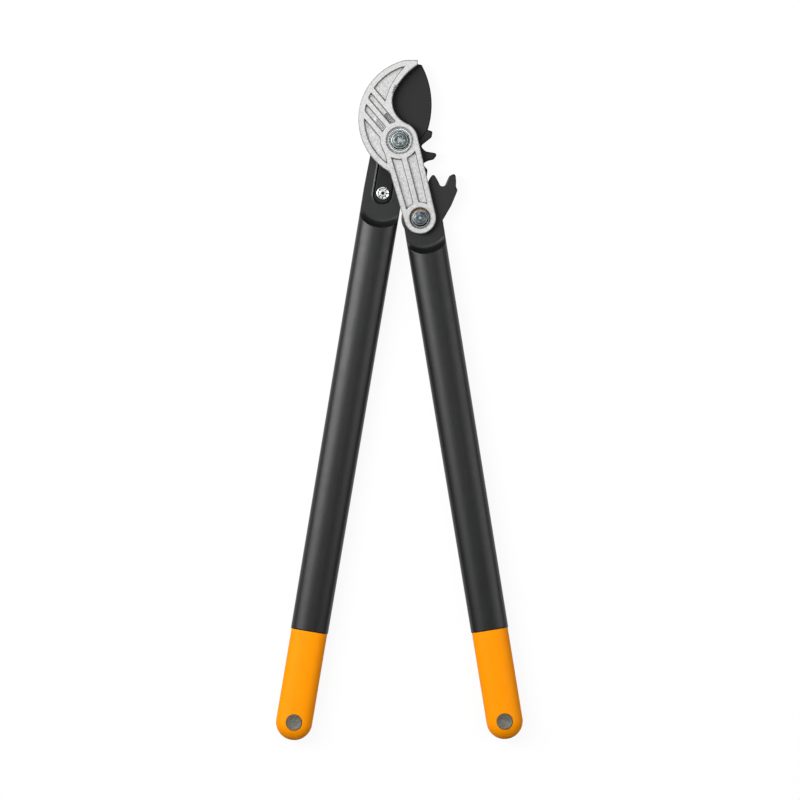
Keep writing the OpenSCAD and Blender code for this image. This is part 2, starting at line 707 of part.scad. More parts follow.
module right_handle() {
    color("#3a3a3c") difference() {
        at_right() handle_tube(0, pivot_span, right_drop, right_tube_l)
            translate([-link_offset, 0, neck_back - plate_over]) rotate(-handle_lean) {
                cylinder(h = neck_t + 2 * plate_over, r = head_r);
                linear_extrude(neck_t + 2 * plate_over) polygon(rounded(fork_shares, pivot_span));
            }
        translate(link_at) {
            translate([0, 0, -overrun])
                cylinder(h = tube_d + 2 * overrun, r = link_bolt_r + link_bush_wall + 2 * bore_gap);
            translate([0, 0, -overrun]) cylinder(h = link_well_top + overrun, r = link_well_r);
        }
    }
}

module right_link_bush() {
    r = link_bolt_r + bore_gap;
    color("silver") translate(link_at) translate([0, 0, link_well_top])
        ring(r + link_bush_wall, r, neck_front - link_well_top);
}

module left_grip() color("darkorange") at_left() grip(left_tube_l);
module left_grip_pin() color("dimgray") at_left() grip_pin(left_tube_l);
module right_grip() color("darkorange") at_right() grip(right_tube_l);
module right_grip_pin() color("dimgray") at_right() grip_pin(right_tube_l);

anvil_arm();
pivot_bolt();
pivot_washer();
front_thrust_washer();
rear_thrust_washer();
pivot_nut();
link_bolt();
link_washer();
link_bush();
link_rear_washer();
link_nut();
blade();
blade_bush();
left_handle();
tang_screw();
tang_nut();
left_grip();
left_grip_pin();
right_handle();
right_link_bush();
right_grip();
right_grip_pin();
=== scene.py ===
"""Geared anvil lopper, closed and seen from its front: visual pieces on the packed frame."""
import math

import bpy
import numpy as np
from bpy.props import FloatProperty, FloatVectorProperty, IntProperty, PointerProperty
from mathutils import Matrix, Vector


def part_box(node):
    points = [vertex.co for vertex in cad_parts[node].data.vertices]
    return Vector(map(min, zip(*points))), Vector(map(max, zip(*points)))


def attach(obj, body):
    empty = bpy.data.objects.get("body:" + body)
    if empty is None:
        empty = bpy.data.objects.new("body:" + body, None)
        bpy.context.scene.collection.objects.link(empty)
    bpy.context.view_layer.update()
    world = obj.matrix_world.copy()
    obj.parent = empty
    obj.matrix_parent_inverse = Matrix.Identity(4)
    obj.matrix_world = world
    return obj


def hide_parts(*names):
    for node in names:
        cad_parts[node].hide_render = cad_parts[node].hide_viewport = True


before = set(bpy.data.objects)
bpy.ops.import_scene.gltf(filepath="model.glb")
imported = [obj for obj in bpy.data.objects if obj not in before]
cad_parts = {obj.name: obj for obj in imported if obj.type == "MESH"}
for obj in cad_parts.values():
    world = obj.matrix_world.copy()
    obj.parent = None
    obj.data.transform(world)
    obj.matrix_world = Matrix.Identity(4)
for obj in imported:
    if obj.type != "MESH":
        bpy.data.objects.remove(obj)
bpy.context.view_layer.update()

bl_info = {
    "name": "Geared anvil lopper",
    "version": (1, 0, 0),
    "blender": (4, 5, 0),
    "location": "View3D > Sidebar > Lopper",
    "description": "Casting, blade, handles, grips and fasteners of a geared anvil lopper",
    "category": "Add Mesh",
}

MM = 0.001
# Least divisor, points worked on at a time, depth of a point on an outline's rim, least gap told apart
TINY, BATCH, ON_RIM, TOUCH = 1e-12, 20000, 1e-6, 1e-7
# Points round turned pieces, tubes, grips and pins, and the radius at which a turned piece's end is closed
FACETS, TUBE_POINTS, GRIP_POINTS, PIN_POINTS, POLE_R = 144, 240, 360, 96, 0.3 * MM
# Fall of an eased edge, and of a softer one, as a share of its radius
FALL, SOFT_FALL = 0.6, 0.42
# Turns in degrees: teeth on the anvil, ends of the anvil wall and of the blade's edge, start of its spine
TOOTHED_TURN, WALL_END, EDGE_END, SPINE_START = 8, 208, 236, -17

# Outlines as shares of the distance between the pivots: place and corner radius, or place alone
BLADE_TEETH_SHARES = [
    [-0.1, 0.05, 0], [0.3, 0.17, 0], [0.357, 0.135, 0.004], [0.412, 0.118, 0.022], [0.4, 0.045, 0.04],
    [0.262, -0.066, 0.03], [0.325, -0.132, 0.08], [0.48, -0.158, 0.038], [0.425, -0.232, 0.035],
    [0.352, -0.25, 0.04], [0.286, -0.286, 0.025], [0.35, -0.36, 0.04], [0.335, -0.49, 0.03],
    [0.25, -0.47, 0.03], [0.19, -0.4, 0.05], [0.06, -0.42, 0.05], [-0.06, -0.5, 0]]
GRIND_SHARES = [[0.36, 0.16], [0.24, 0.002]]
FORK_SHARES = [
    [0.1, -0.12, 0], [-0.2, 0.1, 0.02], [-0.165, 0.5, 0.045], [-0.075, 0.51, 0.045], [-0.01, 0.405, 0.05],
    [0.08, 0.415, 0.04], [0.115, 0.49, 0.045], [0.165, 0.563, 0.045], [0.215, 0.48, 0.045],
    [0.255, 0.4, 0.03], [0.305, 0.4, 0.03], [0.36, 0.525, 0.05], [0.44, 0.568, 0.045],
    [0.45, 0.46, 0.04], [0.447, 0.4, 0.04], [0.468, 0.35, 0.02], [0.392, 0.165, 0.2],
    [0.285, -0.02, 0.01]]
# Left neck as shares of the tube's width: its top and foot, and its sides as distances down and across
NECK_TOP, NECK_FOOT = 0.92, 0.25
NECK_LEFT, NECK_RIGHT = ([-NECK_TOP, 0.3], [-0.475, -0.51]), ([-0.34, NECK_FOOT], [0.2, 0.5])
# Last ring of a tube as a share of the one before
END_SHARE = 0.985
# Room for the head and fork round the link pivot, and the link washer's place off it, in millimetres
FORK_ROOM, LINK_WASHER_SHIFT = [[-22, -22], [42, 50]], [0.3, -0.7]
# Soft lights: places from the middle of the picture, in metres, and length over width; camera sensor in mm
KEY_PLACE, FILL_PLACE, CROWN_PLACE = (-1.3, 0.55, 1.62), (1.5, 0.1, 1.5), (0, 1.7, 1.9)
LAMP_ASPECT, SENSOR = 2.2, 36


def linear(hex_colour):
    """Linear colour of an sRGB hex value: each channel goes through the sRGB curve."""
    v = np.array([int(hex_colour[i:i + 2], 16) for i in (1, 3, 5)]) / 255
    return np.where(v <= 0.04045, v / 12.92, ((v + 0.055) / 1.055) ** 2.4).tolist()


def size(name, description, default):
    """A length that the sidebar shows, kept in metres, from a default in millimetres."""
    return FloatProperty(name=name, description=description, default=default * MM, unit="LENGTH", precision=4)


def tint(name, description, hex_colour):
    """A colour that the sidebar shows."""
    return FloatVectorProperty(name=name, description=description, subtype="COLOR", size=3, min=0, max=1,
                               default=linear(hex_colour))


def middle(node):
    """Middle of a CAD node's box, seen from the front."""
    low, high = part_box(node)
    return np.array((low + high) / 2)[:2]


def back_of(node):
    """Height of a CAD node's back."""
    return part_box(node)[0].z


def front_of(node):
    """Height of a CAD node's front."""
    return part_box(node)[1].z


def node_points(node):
    """Corners of a CAD node's mesh."""
    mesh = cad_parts[node].data
    flat = np.empty(3 * len(mesh.vertices))
    mesh.vertices.foreach_get("co", flat)
    return flat.reshape(-1, 3)


# Sizes and colours

class CastingSizes(bpy.types.PropertyGroup):
    """Sizes of the hook and arm"""
    hook_r: size("Hook radius", "Radius of the hook's outer edge", 60.4)
    hook_x: size("Hook centre X", "Centre of that edge to the right of the main pivot", 19.2)
    hook_y: size("Hook centre Y", "Centre of that edge above the main pivot", 21.3)
    anvil_r: size("Anvil radius", "Radius of the anvil's upper edge", 69)
    anvil_x: size("Anvil centre X", "Centre of the anvil's edge to the right of the main pivot", 56.4)
    anvil_y: size("Anvil centre Y", "Centre of the anvil's edge above the main pivot", 18.3)
    throat_r: size("Throat radius", "Radius of the throat below the anvil", 24.4)
    tip_x: size("Tip X", "Right edge of the hook's tip", 18)
    tip_y: size("Tip Y", "Top of the hook's tip", 80.2)
    wall_w: size("Anvil wall", "Width of the anvil wall behind the hook", 8)
    groove_d: size("Groove depth", "Depth of the groove that takes the blade's edge", 2)
    groove_gap: size("Groove clearance", "Clearance of the blade in that groove", 0.4)
    boss_r: size("Boss radius", "Radius of the boss at the main pivot", 18.3)
    end_r: size("Arm end radius", "Radius of the arm's end at the link pivot", 15.9)
    chin_r: size("Chin radius", "Radius of the corner between hook and arm", 7)
    pocket_d: size("Pocket depth", "Depth of the pockets in the front", 3.2)
    draft: size("Pocket draft", "Run of a pocket's wall from its rim to its floor", 1.1)
    hook_border: size("Hook border", "Border between the hook's edge and its pockets", 6)
    anvil_border: size("Anvil border", "Border between the anvil's edge and the first pocket", 4.6)
    tip_border: size("Tip border", "Growth of the anvil's border towards the tip", 2.2)
    arm_border: size("Arm border", "Border between the arm's edge and its pockets", 5.6)
    rib_w: size("Rib width", "Width of the ribs across the hook", 5.4)
    slot_w: size("Slot width", "Width of the slots between those ribs", 5.5)
    rib_start: size("Rib start", "Distance of the first rib's upper side from the main pivot", 14.4)
    rib_turn: FloatProperty(name="Rib direction", description="Direction of those ribs",
                            default=math.radians(-49.5), subtype="ANGLE")
    arm_rib_w: size("Arm rib", "Width of the rib along the arm", 5.6)
    boss_land: size("Boss land", "Land round the boss before the pockets", 0.7)
    link_land_r: size("Link land", "Radius of the land round the link pivot", 15.9)
    boss_recess_r: size("Boss recess", "Radius of the recess round the main pivot's washer", 13.2)
    boss_recess_d: size("Boss recess depth", "Depth of that recess", 3.4)
    link_recess_r: size("Link recess", "Radius of the recess round the link pivot's bush", 10.4)
    link_recess_d: size("Link recess depth", "Depth of that recess", 4.2)
    boss_bore_r: size("Boss bore", "Radius of the bore round the main pivot's bolt", 5.05)
    boss_ledge_w: size("Boss ledge", "Width of the ledge under the rim of the boss's recess", 1.05)
    link_bore_r: size("Link bore", "Radius of the bore round the link bush", 6.1)
    corner_ease: size("Pocket corner", "Easing of the pockets' corners", 0.45)
    draft_lead: size("Draft lead", "Distance outside its outline at which a pocket's wall starts", 0.5)
    step_reach: size("Slot step", "Distance along the ribs at which the first slot steps down", 29.6)
    step_d: size("Slot step depth", "Depth of that step", 1.5)
    comb_d: size("Comb depth", "Depth of the fine comb across that step", 0.8)
    comb_pitch: size("Comb pitch", "Pitch of that comb", 2.2)
    ridge_in: size("Ridge place", "Distance of the second slot's ridge from that slot's rim", 2.7)
    ridge_half: size("Ridge half width", "Half the width of that ridge", 1.5)
    ridge_h: size("Ridge height", "Height of that ridge", 1.9)
    ridge_reach: size("Ridge start", "Distance along the ribs at which that ridge starts", 34)
    ridge_run: size("Ridge rise", "Run over which that ridge rises", 5)
    edge_round: size("Edge round", "Rounding of the casting's outer edges", 0.8)
    recess_round: size("Recess round", "Rounding of the recesses' rims", 0.4)
    back_round: size("Back round", "Rounding of the edges of the casting's back", 0.6)
    notch_d: size("Notch depth", "Depth of the notches across the anvil's edge", 1.1)
    notch_w: size("Notch reach", "Reach of those notches from that edge", 2.1)
    notch_y: size("Serration start", "Height at which the anvil's small teeth start", 46.2)
    notch_run: size("Serration run", "Height over which those teeth run", 9)
    tooth_pitch: size("Serration pitch", "Pitch of the small teeth on the anvil's edge", 1.6)
    tooth_h: size("Serration height", "Height of those teeth", 0.5)
    pitch: size("Grid pitch", "Spacing of the casting's surface points", 0.36)


class BladeSizes(bpy.types.PropertyGroup):
    """Sizes of the blade"""
    spine_r: size("Spine radius", "Radius of the blade's back edge", 84)
    spine_x: size("Spine X", "Furthest reach of that edge to the right", 32)
    spine_y: size("Spine Y", "Height of that reach above the main pivot", 36)
    tip_y: size("Tip height", "Height of the blade's tip above the main pivot", 75.9)
    hub_r: size("Hub radius", "Radius of the blade's hub", 21.5)
    bevel_w: size("Back bevel", "Width of the bevel behind the cutting edge", 9)
    front_bevel: size("Front bevel", "Width of the bevel before the cutting edge", 1.8)
    edge_t: size("Edge thickness", "Thickness left at the cutting edge", 0.5)
    grind_d: size("Grind depth", "Depth by which the leaf is ground down above its teeth", 0.6)
    tang_r: size("Tang half width", "Half the width of the tang", 9.2)
    tang_sink: size("Tang end", "Distance of the tang's round end below its screw", 1.4)
    edge_round: size("Edge round", "Rounding of the blade's edges", 2)
    hub_bore_r: size("Hub bore", "Radius of the bore round the blade's bush", 7.15)
    screw_bore_r: size("Tang bore", "Radius of the bore for the tang screw", 3.05)
    bright_w: size("Bright edge", "Width of the bare steel along the cutting edge", 1.4)
    # The dark edge and the grind line are painted shade on the coating
    dark_w: size("Dark edge", "Width of the thicker coating along the other edges", 1.6)
    grind_line: size("Grind line", "Half width of the dark line where the grinding ends", 0.6)
    # Run over which the tang's painted shade fades
    tang_shade_run: size("Fresh run", "Run over which the tang's coating turns fresh", 10)
    pitch: size("Grid pitch", "Spacing of the blade's surface points", 0.4)


class HandleSizes(bpy.types.PropertyGroup):
    """Sizes of the handles"""
    tube_w: size("Tube width", "Width of a tube at its neck", 39.5)
    tube_d: size("Tube depth", "Front to back of a tube at its neck", 26)
    end_w: size("Tube end width", "Width of a tube at its grip", 37.6)
    end_d: size("Tube end depth", "Front to back of a tube at its grip", 25)
    left_drop: size("Left flat", "Distance from the tang screw to the left tube's full front", 34.8)
    right_drop: size("Right flat", "Distance from the link pivot to the right tube's full front", 36.4)
    link_offset: size("Link offset", "Distance of the right handle's axis from the link pivot", 2.5)
    scoop_r: size("Scoop radius", "Radius of the curve in which the neck's flat ends", 25.5)
    scoop_run: size("Scoop run", "Run of the hollow wall at the end of that flat", 9)
    back_short: size("Back flat", "Distance by which the back flat stops short of the front one", 8)
    head_r: size("Head radius", "Radius of the right handle's head", 18.7)
    head_round: size("Head rounding", "Rounding of the edges of necks, head and fork", 1.2)
    pocket_gap: size("Pocket clearance", "Clearance of the tang in its pocket", 0.15)
    bead: size("Pocket bead", "Height of the bead on the pocket's left lip", 0.45)
    hub_gap: size("Hub clearance", "Clearance of the left neck round the blade's hub", 2)
    nut_gap: size("Nut clearance", "Clearance of the tang nut in its seat", 0.25)
    bush_bore_r: size("Head bore", "Radius of the bore round the right handle's bush", 6.1)
    well_r: size("Well radius", "Radius of the counterbore in the back of the head", 9.8)
    well_d: size("Well depth", "Depth of that counterbore", 6)
    neck_run: size("Neck run", "Run of close rings below the end of a neck's flat", 14)
    ring_pitch: size("Ring pitch", "Spacing of a tube's rings below them", 4)
    end_ease: size("Tube end", "Length of a tube's eased end", 0.4)
    squareness: FloatProperty(name="Squareness", description="Power of the oval section, 2 for an ellipse",
                              default=2.5)
    pitch: size("Grid pitch", "Spacing of the neck's surface points", 0.45)


class GripSizes(bpy.types.PropertyGroup):
    """Sizes of the grips and pins"""
    width: size("Grip width", "Width of a grip", 36.3)
    depth: size("Grip depth", "Front to back of a grip", 24.4)
    length: size("Grip length", "Distance from a grip's upper edge to its pin", 92.2)
    pin_dish: size("Pin dish", "Depth of the dish in a grip pin's face", 1.6)
    pin_r: size("Pin radius", "Radius of a grip pin", 8)
    pin_seat: size("Pin seat", "Depth of a pin's seat in its grip", 2.5)
    pin_gap: size("Pin clearance", "Clearance of a pin in its seat", 0.25)
    pin_round: size("Pin rounding", "Rounding of a pin's edges", 0.4)
    lip: size("Grip lip", "Rounding of a grip's upper edge", 0.5)


class FastenerSizes(bpy.types.PropertyGroup):
    """Sizes of bolts, screw, washers and nuts"""
    facets: IntProperty(name="Facets", description="Points round a turned piece", default=FACETS)
    pivot_rim: size("Pivot head rim", "Width of the raised rim of the main pivot's bolt", 1.3)
    pivot_drive: size("Pivot drive", "Radius of that bolt's driver recess", 4.3)
    link_rim: size("Link head rim", "Width of the raised rim of the link bolt", 0.9)
    link_drive: size("Link drive", "Radius of that bolt's driver recess", 2.9)
    pivot_head_r: size("Pivot head", "Radius of the main pivot's bolt head", 8.5)
    pivot_shank_r: size("Pivot shank", "Radius of that bolt's shank", 5)
    pivot_washer_r: size("Pivot washer", "Radius of the main pivot's washer", 12)
    pivot_washer_bore: size("Pivot washer bore", "Radius of that washer's bore", 5.05)
    pivot_groove_r: size("Pivot washer groove", "Radius of the groove in that washer", 10.2)
    link_head_r: size("Link head", "Radius of the link bolt's head", 7.4)
    link_shank_r: size("Link shank", "Radius of that bolt's shank", 4)
    link_washer_r: size("Link washer", "Radius of the link bolt's washer", 9.4)
    link_washer_bore: size("Link washer bore", "Radius of that washer's bore", 4.8)
    link_groove_r: size("Link washer groove", "Radius of the groove in that washer", 8.8)
    tang_head_r: size("Screw head", "Radius of the tang screw's head", 6.4)
    tang_shank_r: size("Screw shank", "Radius of that screw's shank", 3)
    tang_hole_d: size("Screw hole", "Depth of the hole in that head", 2)
    bevel: size("Nut bevel", "Bevel of nuts, bushes and hidden washers", 0.3)
    edge: size("Edge round", "Rounding of heads and washers", 0.5)
    serration: size("Serration", "Height of the washers' pressed serrations", 0.14)


class FinishColours(bpy.types.PropertyGroup):
    """Colours of the finishes"""
    aluminium: tint("Casting", "Die-cast aluminium", "#d2d2d0")
    # Mixed in at random as dull patches, and as painted shade in the pockets' floors and down the arm
    aluminium_dark: tint("Casting, dull", "Dull patches of the casting", "#96989b")
    # Painted shade: dark grey mixed into the casting's creases, the foot of its pockets' walls and its outer
    # edges
    aluminium_crease_shade: tint("Casting, creases", "Grime in the casting's creases", "#404144")
    coating: tint("Blade coating", "Black low-friction coating", "#1a1a1c")
    # Painted shade: a blacker coating over the tang in its pocket
    coating_tang_shade: tint("Coating, fresh", "Unworn coating of the tang", "#0b0b0c")
    # Painted shade along the blade's edges and its grind line
    coating_edge_shade: tint("Coating, edges", "Thicker coating that gathers along edges", "#09090a")
    steel: tint("Ground steel", "Bare ground steel of the bevel", "#b9babd")
    zinc: tint("Zinc", "Zinc plate of bolts", "#566061")
    zinc_blue: tint("Zinc, blue", "Blue-passivated zinc of the link bolt", "#3d4751")
    # Mixed in at random, and as a painted highlight on the bolts' rims and recesses; also the screw's own
    # colour
    zinc_bright: tint("Zinc, bright", "Worn zinc plate", "#adb5b4")
    washer: tint("Washer", "Plain steel of washers and nuts", "#929596")
    # Mixed in at random, and as a painted highlight on washers and the screw
    bright: tint("Bright plate", "Brightest zinc of screw and washers", "#dadedf")
    bronze: tint("Bronze", "Sintered bronze of the bush", "#7d5a33")
    polyamide: tint("Handle", "Glass-fibre polyamide of the handles", "#0e0f10")
    polyamide_pale: tint("Handle, pale", "Pale glass flecks of the handles", "#1d1e1f")
    orange: tint("Grip", "Orange soft polymer of the grips", "#ff9b00")
    orange_deep: tint("Grip, deep", "Deeper orange patches of the grips", "#ff9300")
    pin: tint("Pin", "Grey polymer of the grip pins", "#75736a")
    # Mixed in at random, and as painted shade round the pins' rims
    pin_dark: tint("Pin, dark", "Dark mottling of the grip pins", "#47463f")
    paper: tint("Floor", "Studio paper under the tool", "#ffffff")


class StageSettings(bpy.types.PropertyGroup):
    """View, lights and floor"""
    centre_x: size("View centre X", "Point in the middle of the picture, X", 1.0)
    centre_y: size("View centre Y", "Point in the middle of the picture, Y", -259.3)
    width: size("View width", "Width that the picture spans at the tool", 800)
    distance: size("Camera distance", "Height of the camera above the tool", 6000)
    level: size("Level", "Height at which the view width is true", 16)
    roll: FloatProperty(name="Roll", description="Turn of the camera about its axis", subtype="ANGLE",
                        default=math.radians(0.13))
    key: FloatProperty(name="Key", description="Power of the soft light on the left, watts", default=54)
    fill: FloatProperty(name="Fill", description="Power of the soft light on the right, watts", default=14)
    crown: FloatProperty(name="Crown", description="Power of the soft light beyond the jaw, watts", default=9)
    zenith: FloatProperty(name="Zenith", description="Brightness of the sky overhead", default=0.14)
    horizon: FloatProperty(name="Horizon", description="Brightness of the sky at the horizon", default=0.04)
    floor_half: size("Floor half width", "Half the width of the paper floor", 12000)
    floor_drop: size("Floor drop", "Depth of the floor below the tool", 0.5)


SETTINGS = {
    "lopper_casting": CastingSizes, "lopper_blade": BladeSizes, "lopper_handles": HandleSizes,
    "lopper_grips": GripSizes, "lopper_fasteners": FastenerSizes, "lopper_colours": FinishColours,
    "lopper_stage": StageSettings,
}


# Plane geometry

def polar(r, turn):
    """Points at distance r in the directions turn, in degrees."""
    a = np.radians(turn)
    return np.stack([r * np.cos(a), r * np.sin(a)], -1)


def heading(v):
    """Direction of a vector, 0 to 360 degrees."""
    return math.degrees(math.atan2(v[1], v[0])) % 360


def turned(v, turn):
    """Vectors turned by an angle in degrees."""
    c, s = math.cos(math.radians(turn)), math.sin(math.radians(turn))
    return np.asarray(v, float) @ np.array([[c, s], [-s, c]])


def short_turn(start, end):
    """Turn from one direction to another the short way, in degrees."""
    return (end - start + 540) % 360 - 180


def arc(centre, r, start, end, n=48):
    """n + 1 points along an arc: its centre plus r in directions spread evenly from start to end."""
    return np.asarray(centre) + polar(r, np.linspace(start, end, n + 1))


def meet(c0, r0, c1, r1):
    """Left-hand point at which two circles meet."""
    d = np.linalg.norm(c1 - c0)
    a = (d * d + r0 * r0 - r1 * r1) / (2 * d)
    along = (c1 - c0) / d
    return c0 + along * a + turned(along, 90) * math.sqrt(r0 * r0 - a * a)


def on_circle(centre, r, n, d):
    """Point of a circle on the line at distance d along unit vector n, on the side to n's left."""
    along = turned(n, 90)
    aside = d - centre @ n
    return d * n + (centre @ along + math.sqrt(r * r - aside * aside)) * along


def rounded(shares, span):
    """Outline through a table of places and corner radii, both as shares of a span."""
    at = np.array(shares, float) * span
    before, after = np.roll(at, 1, 0)[:, :2], np.roll(at, -1, 0)[:, :2]

    def corner(p, q, t, r):
        u, v = (p - q) / np.linalg.norm(p - q), (t - q) / np.linalg.norm(t - q)
        half = math.acos(np.clip(u @ v, -1, 1)) / 2
        # A corner's arc takes up less than half of the shorter side
        off = min(r / math.tan(half), 0.48 * min(np.linalg.norm(p - q), np.linalg.norm(t - q)))
        if r == 0:
            return q[None]
        centre = q + (u + v) / np.linalg.norm(u + v) * off / math.cos(half)
        start = heading(q + u * off - centre)
        sweep = short_turn(start, heading(q + v * off - centre))
        return arc(centre, off * math.tan(half), start, start + sweep, 10)

    return np.concatenate([corner(p, q[:2], t, q[2]) for p, q, t in zip(before, at, after)])


def path_gap(path, p):
    """Distance of points from an open path: the least distance to any of its straight pieces."""
    a, e = path[:-1], np.diff(path, axis=0)
    q = p.reshape(-1, 2)

    def nearest(part):
        v = part[:, None] - a
        t = np.clip((v * e).sum(-1) / np.maximum((e * e).sum(-1), TINY ** 2), 0, 1)
        return np.sqrt(((v - t[..., None] * e) ** 2).sum(-1).min(1))

    gaps = [nearest(part) for part in np.array_split(q, len(q) // BATCH + 1)]
    return np.concatenate(gaps).reshape(p.shape[:-1])


def disc(centre, r):
    """Signed distance from a circle, negative inside."""
    return lambda p: np.linalg.norm(p - np.asarray(centre), axis=-1) - r


def polygon(loop):
    """Signed distance from a closed outline: the gap to it, negative where a ray crosses it oddly."""
    a = np.asarray(loop, float)
    b = np.roll(a, -1, 0)
    rise = np.where(b[:, 1] == a[:, 1], TINY, b[:, 1] - a[:, 1])

    def field(p):
        q = p.reshape(-1, 2)

        def odd(part):
            x, y = part[:, :1], part[:, 1:]
            spans = (a[:, 1] > y) != (b[:, 1] > y)
            return (spans & (x < (b[:, 0] - a[:, 0]) * (y - a[:, 1]) / rise + a[:, 0])).sum(1) % 2 == 1

        inside = np.concatenate([odd(part) for part in np.array_split(q, len(q) // BATCH + 1)])
        gap = path_gap(np.vstack([a, a[:1]]), q)
        return np.where(inside, -gap, gap).reshape(p.shape[:-1])

    return field


def union(*fields):
    """Signed distance from several outlines together: the least of theirs."""
    return lambda p: np.minimum.reduce([f(p) for f in fields])


def cut(field, *holes):
    """Signed distance from an outline with holes: the greatest of its own and of the holes', negated."""
    return lambda p: np.maximum.reduce([field(p)] + [-h(p) for h in holes])


def both(gaps, round_r):
    """Greatest of several distances, its corners eased over about round_r."""
    return np.logaddexp.reduce(np.stack(gaps) / round_r) * round_r


def ease(t):
    """Smooth step from 0 to 1: 3t² - 2t³."""
    t = np.clip(t, 0, 1)
    return t * t * (3 - 2 * t)


def edge_drop(depth, r, share=FALL):
    """Fall of an eased edge at a depth inside its outline: share r (1 - depth / r)²."""
    return share * r * (1 - np.clip(depth / r, 0, 1)) ** 2


# Skins: points, four-sided faces and three-sided faces

def joined(*skins):
    """Several skins as one."""
    starts = np.cumsum([0] + [len(s[0]) for s in skins[:-1]])
    return (np.concatenate([s[0] for s in skins]),
            np.concatenate([s[1] + k for s, k in zip(skins, starts)]),
            np.concatenate([s[2] + k for s, k in zip(skins, starts)]))


def ring_skin(rings):
    """Skin of a row of closed rings, (m, n, 3): a band between neighbours, and a fan over each end."""
    m, n = rings.shape[:2]
    k, i = np.meshgrid(np.arange(m - 1), np.arange(n), indexing="ij")
    j = (i + 1) % n
    quads = np.stack([k * n + i, k * n + j, (k + 1) * n + j, (k + 1) * n + i], -1).reshape(-1, 4)
    ends = np.stack([rings[0].mean(0), rings[-1].mean(0)])
    i, j = np.arange(n), (np.arange(n) + 1) % n
    first = np.stack([np.full(n, m * n), j, i], -1)
    last = np.stack([np.full(n, m * n + 1), (m - 1) * n + i, (m - 1) * n + j], -1)
    return np.concatenate([rings.reshape(-1, 3), ends]), quads, np.concatenate([first, last])


def plate_skin(field, low, high, pitch, front, back):
    """Skin of a plate over the square cells whose middles lie inside a field.

    Rim points are drawn along the field's slope onto its zero line, and stay inside the box from low
    to high. Front and back give the height of each point from its place and its depth inside the
    field, and upright walls join them round the rim. The depths come last.
    """
    x, y = (np.arange(low[k] - pitch, high[k] + 2 * pitch, pitch) for k in (0, 1))
    grid = np.stack(np.meshgrid(x, y, indexing="ij"), -1)
    keep = field((grid[:-1, :-1] + grid[1:, 1:]) / 2) < 0
    padded = np.pad(keep, 1).astype(int)
    around = padded[:-1, :-1] + padded[1:, :-1] + padded[:-1, 1:] + padded[1:, 1:]
    rim = (around > 0) & (around < 4)
    steps = np.eye(2) * pitch / 50
    for _ in range(3):
        p = grid[rim]
        slope = np.stack([field(p + s) - field(p - s) for s in steps], -1)
        slope /= np.maximum(np.linalg.norm(slope, axis=-1, keepdims=True), TINY)
        grid[rim] = np.clip(p - field(p)[:, None] * slope, low, high)
    used = around > 0
    ids = np.cumsum(used).reshape(used.shape) - 1
    at = grid[used]
    n = len(at)
    depth = -field(at)
    points = np.concatenate([np.column_stack([at, front(at, depth)]), np.column_stack([at, back(at, depth)])])
    top = np.stack([ids[:-1, :-1], ids[1:, :-1], ids[1:, 1:], ids[:-1, 1:]], -1)
    bare = ~padded.astype(bool)
    sides = ((0, 1, bare[1:-1, :-2]), (1, 2, bare[2:, 1:-1]), (2, 3, bare[1:-1, 2:]), (3, 0, bare[:-2, 1:-1]))
    rows = [np.stack([top[..., a], top[..., a] + n, top[..., b] + n, top[..., b]], -1)[keep & free]
            for a, b, free in sides]
    # Each front cell is split along its more level diagonal, so that slanting edges stay clean
    a, b, c, d = top[keep].T
    level = np.abs(points[a, 2] - points[c, 2]) <= np.abs(points[b, 2] - points[d, 2])
    one = np.where(level[:, None], np.stack([a, b, c], -1), np.stack([b, c, d], -1))
    two = np.where(level[:, None], np.stack([a, c, d], -1), np.stack([b, d, a], -1))
    quads = np.concatenate([top[keep][:, ::-1] + n] + rows)
    return (points, quads, np.concatenate([one, two])), np.concatenate([depth, depth])


def lathe_rings(centre, profile, n):
    """Rings of a turned piece: each profile pair (radius, height) carried round the pivot's axis."""
    r, z = np.array(profile, float).T
    turn = np.linspace(0, 360, n, endpoint=False)
    flat = np.asarray(centre) + r[:, None, None] * polar(1, turn)
    return np.concatenate([flat, np.broadcast_to(z[:, None, None], flat.shape[:2] + (1,))], -1)


def band_skin(rings):
    """Skin of a row of rings that closes on itself, like a tyre: a band between each and the next."""
    m, n = rings.shape[:2]
    k, i = np.meshgrid(np.arange(m), np.arange(n), indexing="ij")
    j, after = (i + 1) % n, (k + 1) % m
    quads = np.stack([k * n + i, k * n + j, after * n + j, after * n + i], -1).reshape(-1, 4)
    return rings.reshape(-1, 3), quads, np.zeros((0, 3), int)


def oval(width, depth, power, n):
    """n points evenly along an oval, |x / a|^p + |z / b|^p = 1, anticlockwise from +X, one row a section."""
    a = np.linspace(0, 2 * np.pi, 2881)
    x, z = (np.sign(f(a)) * np.abs(f(a)) ** (2 / power) / 2 for f in (np.cos, np.sin))
    run = np.concatenate([[0], np.cumsum(np.hypot(np.diff(x), np.diff(z)))])
    even = np.linspace(0, run[-1], n, endpoint=False)
    return (np.asarray(width)[..., None] * np.interp(even, run, x),
            np.asarray(depth)[..., None] * np.interp(even, run, z))


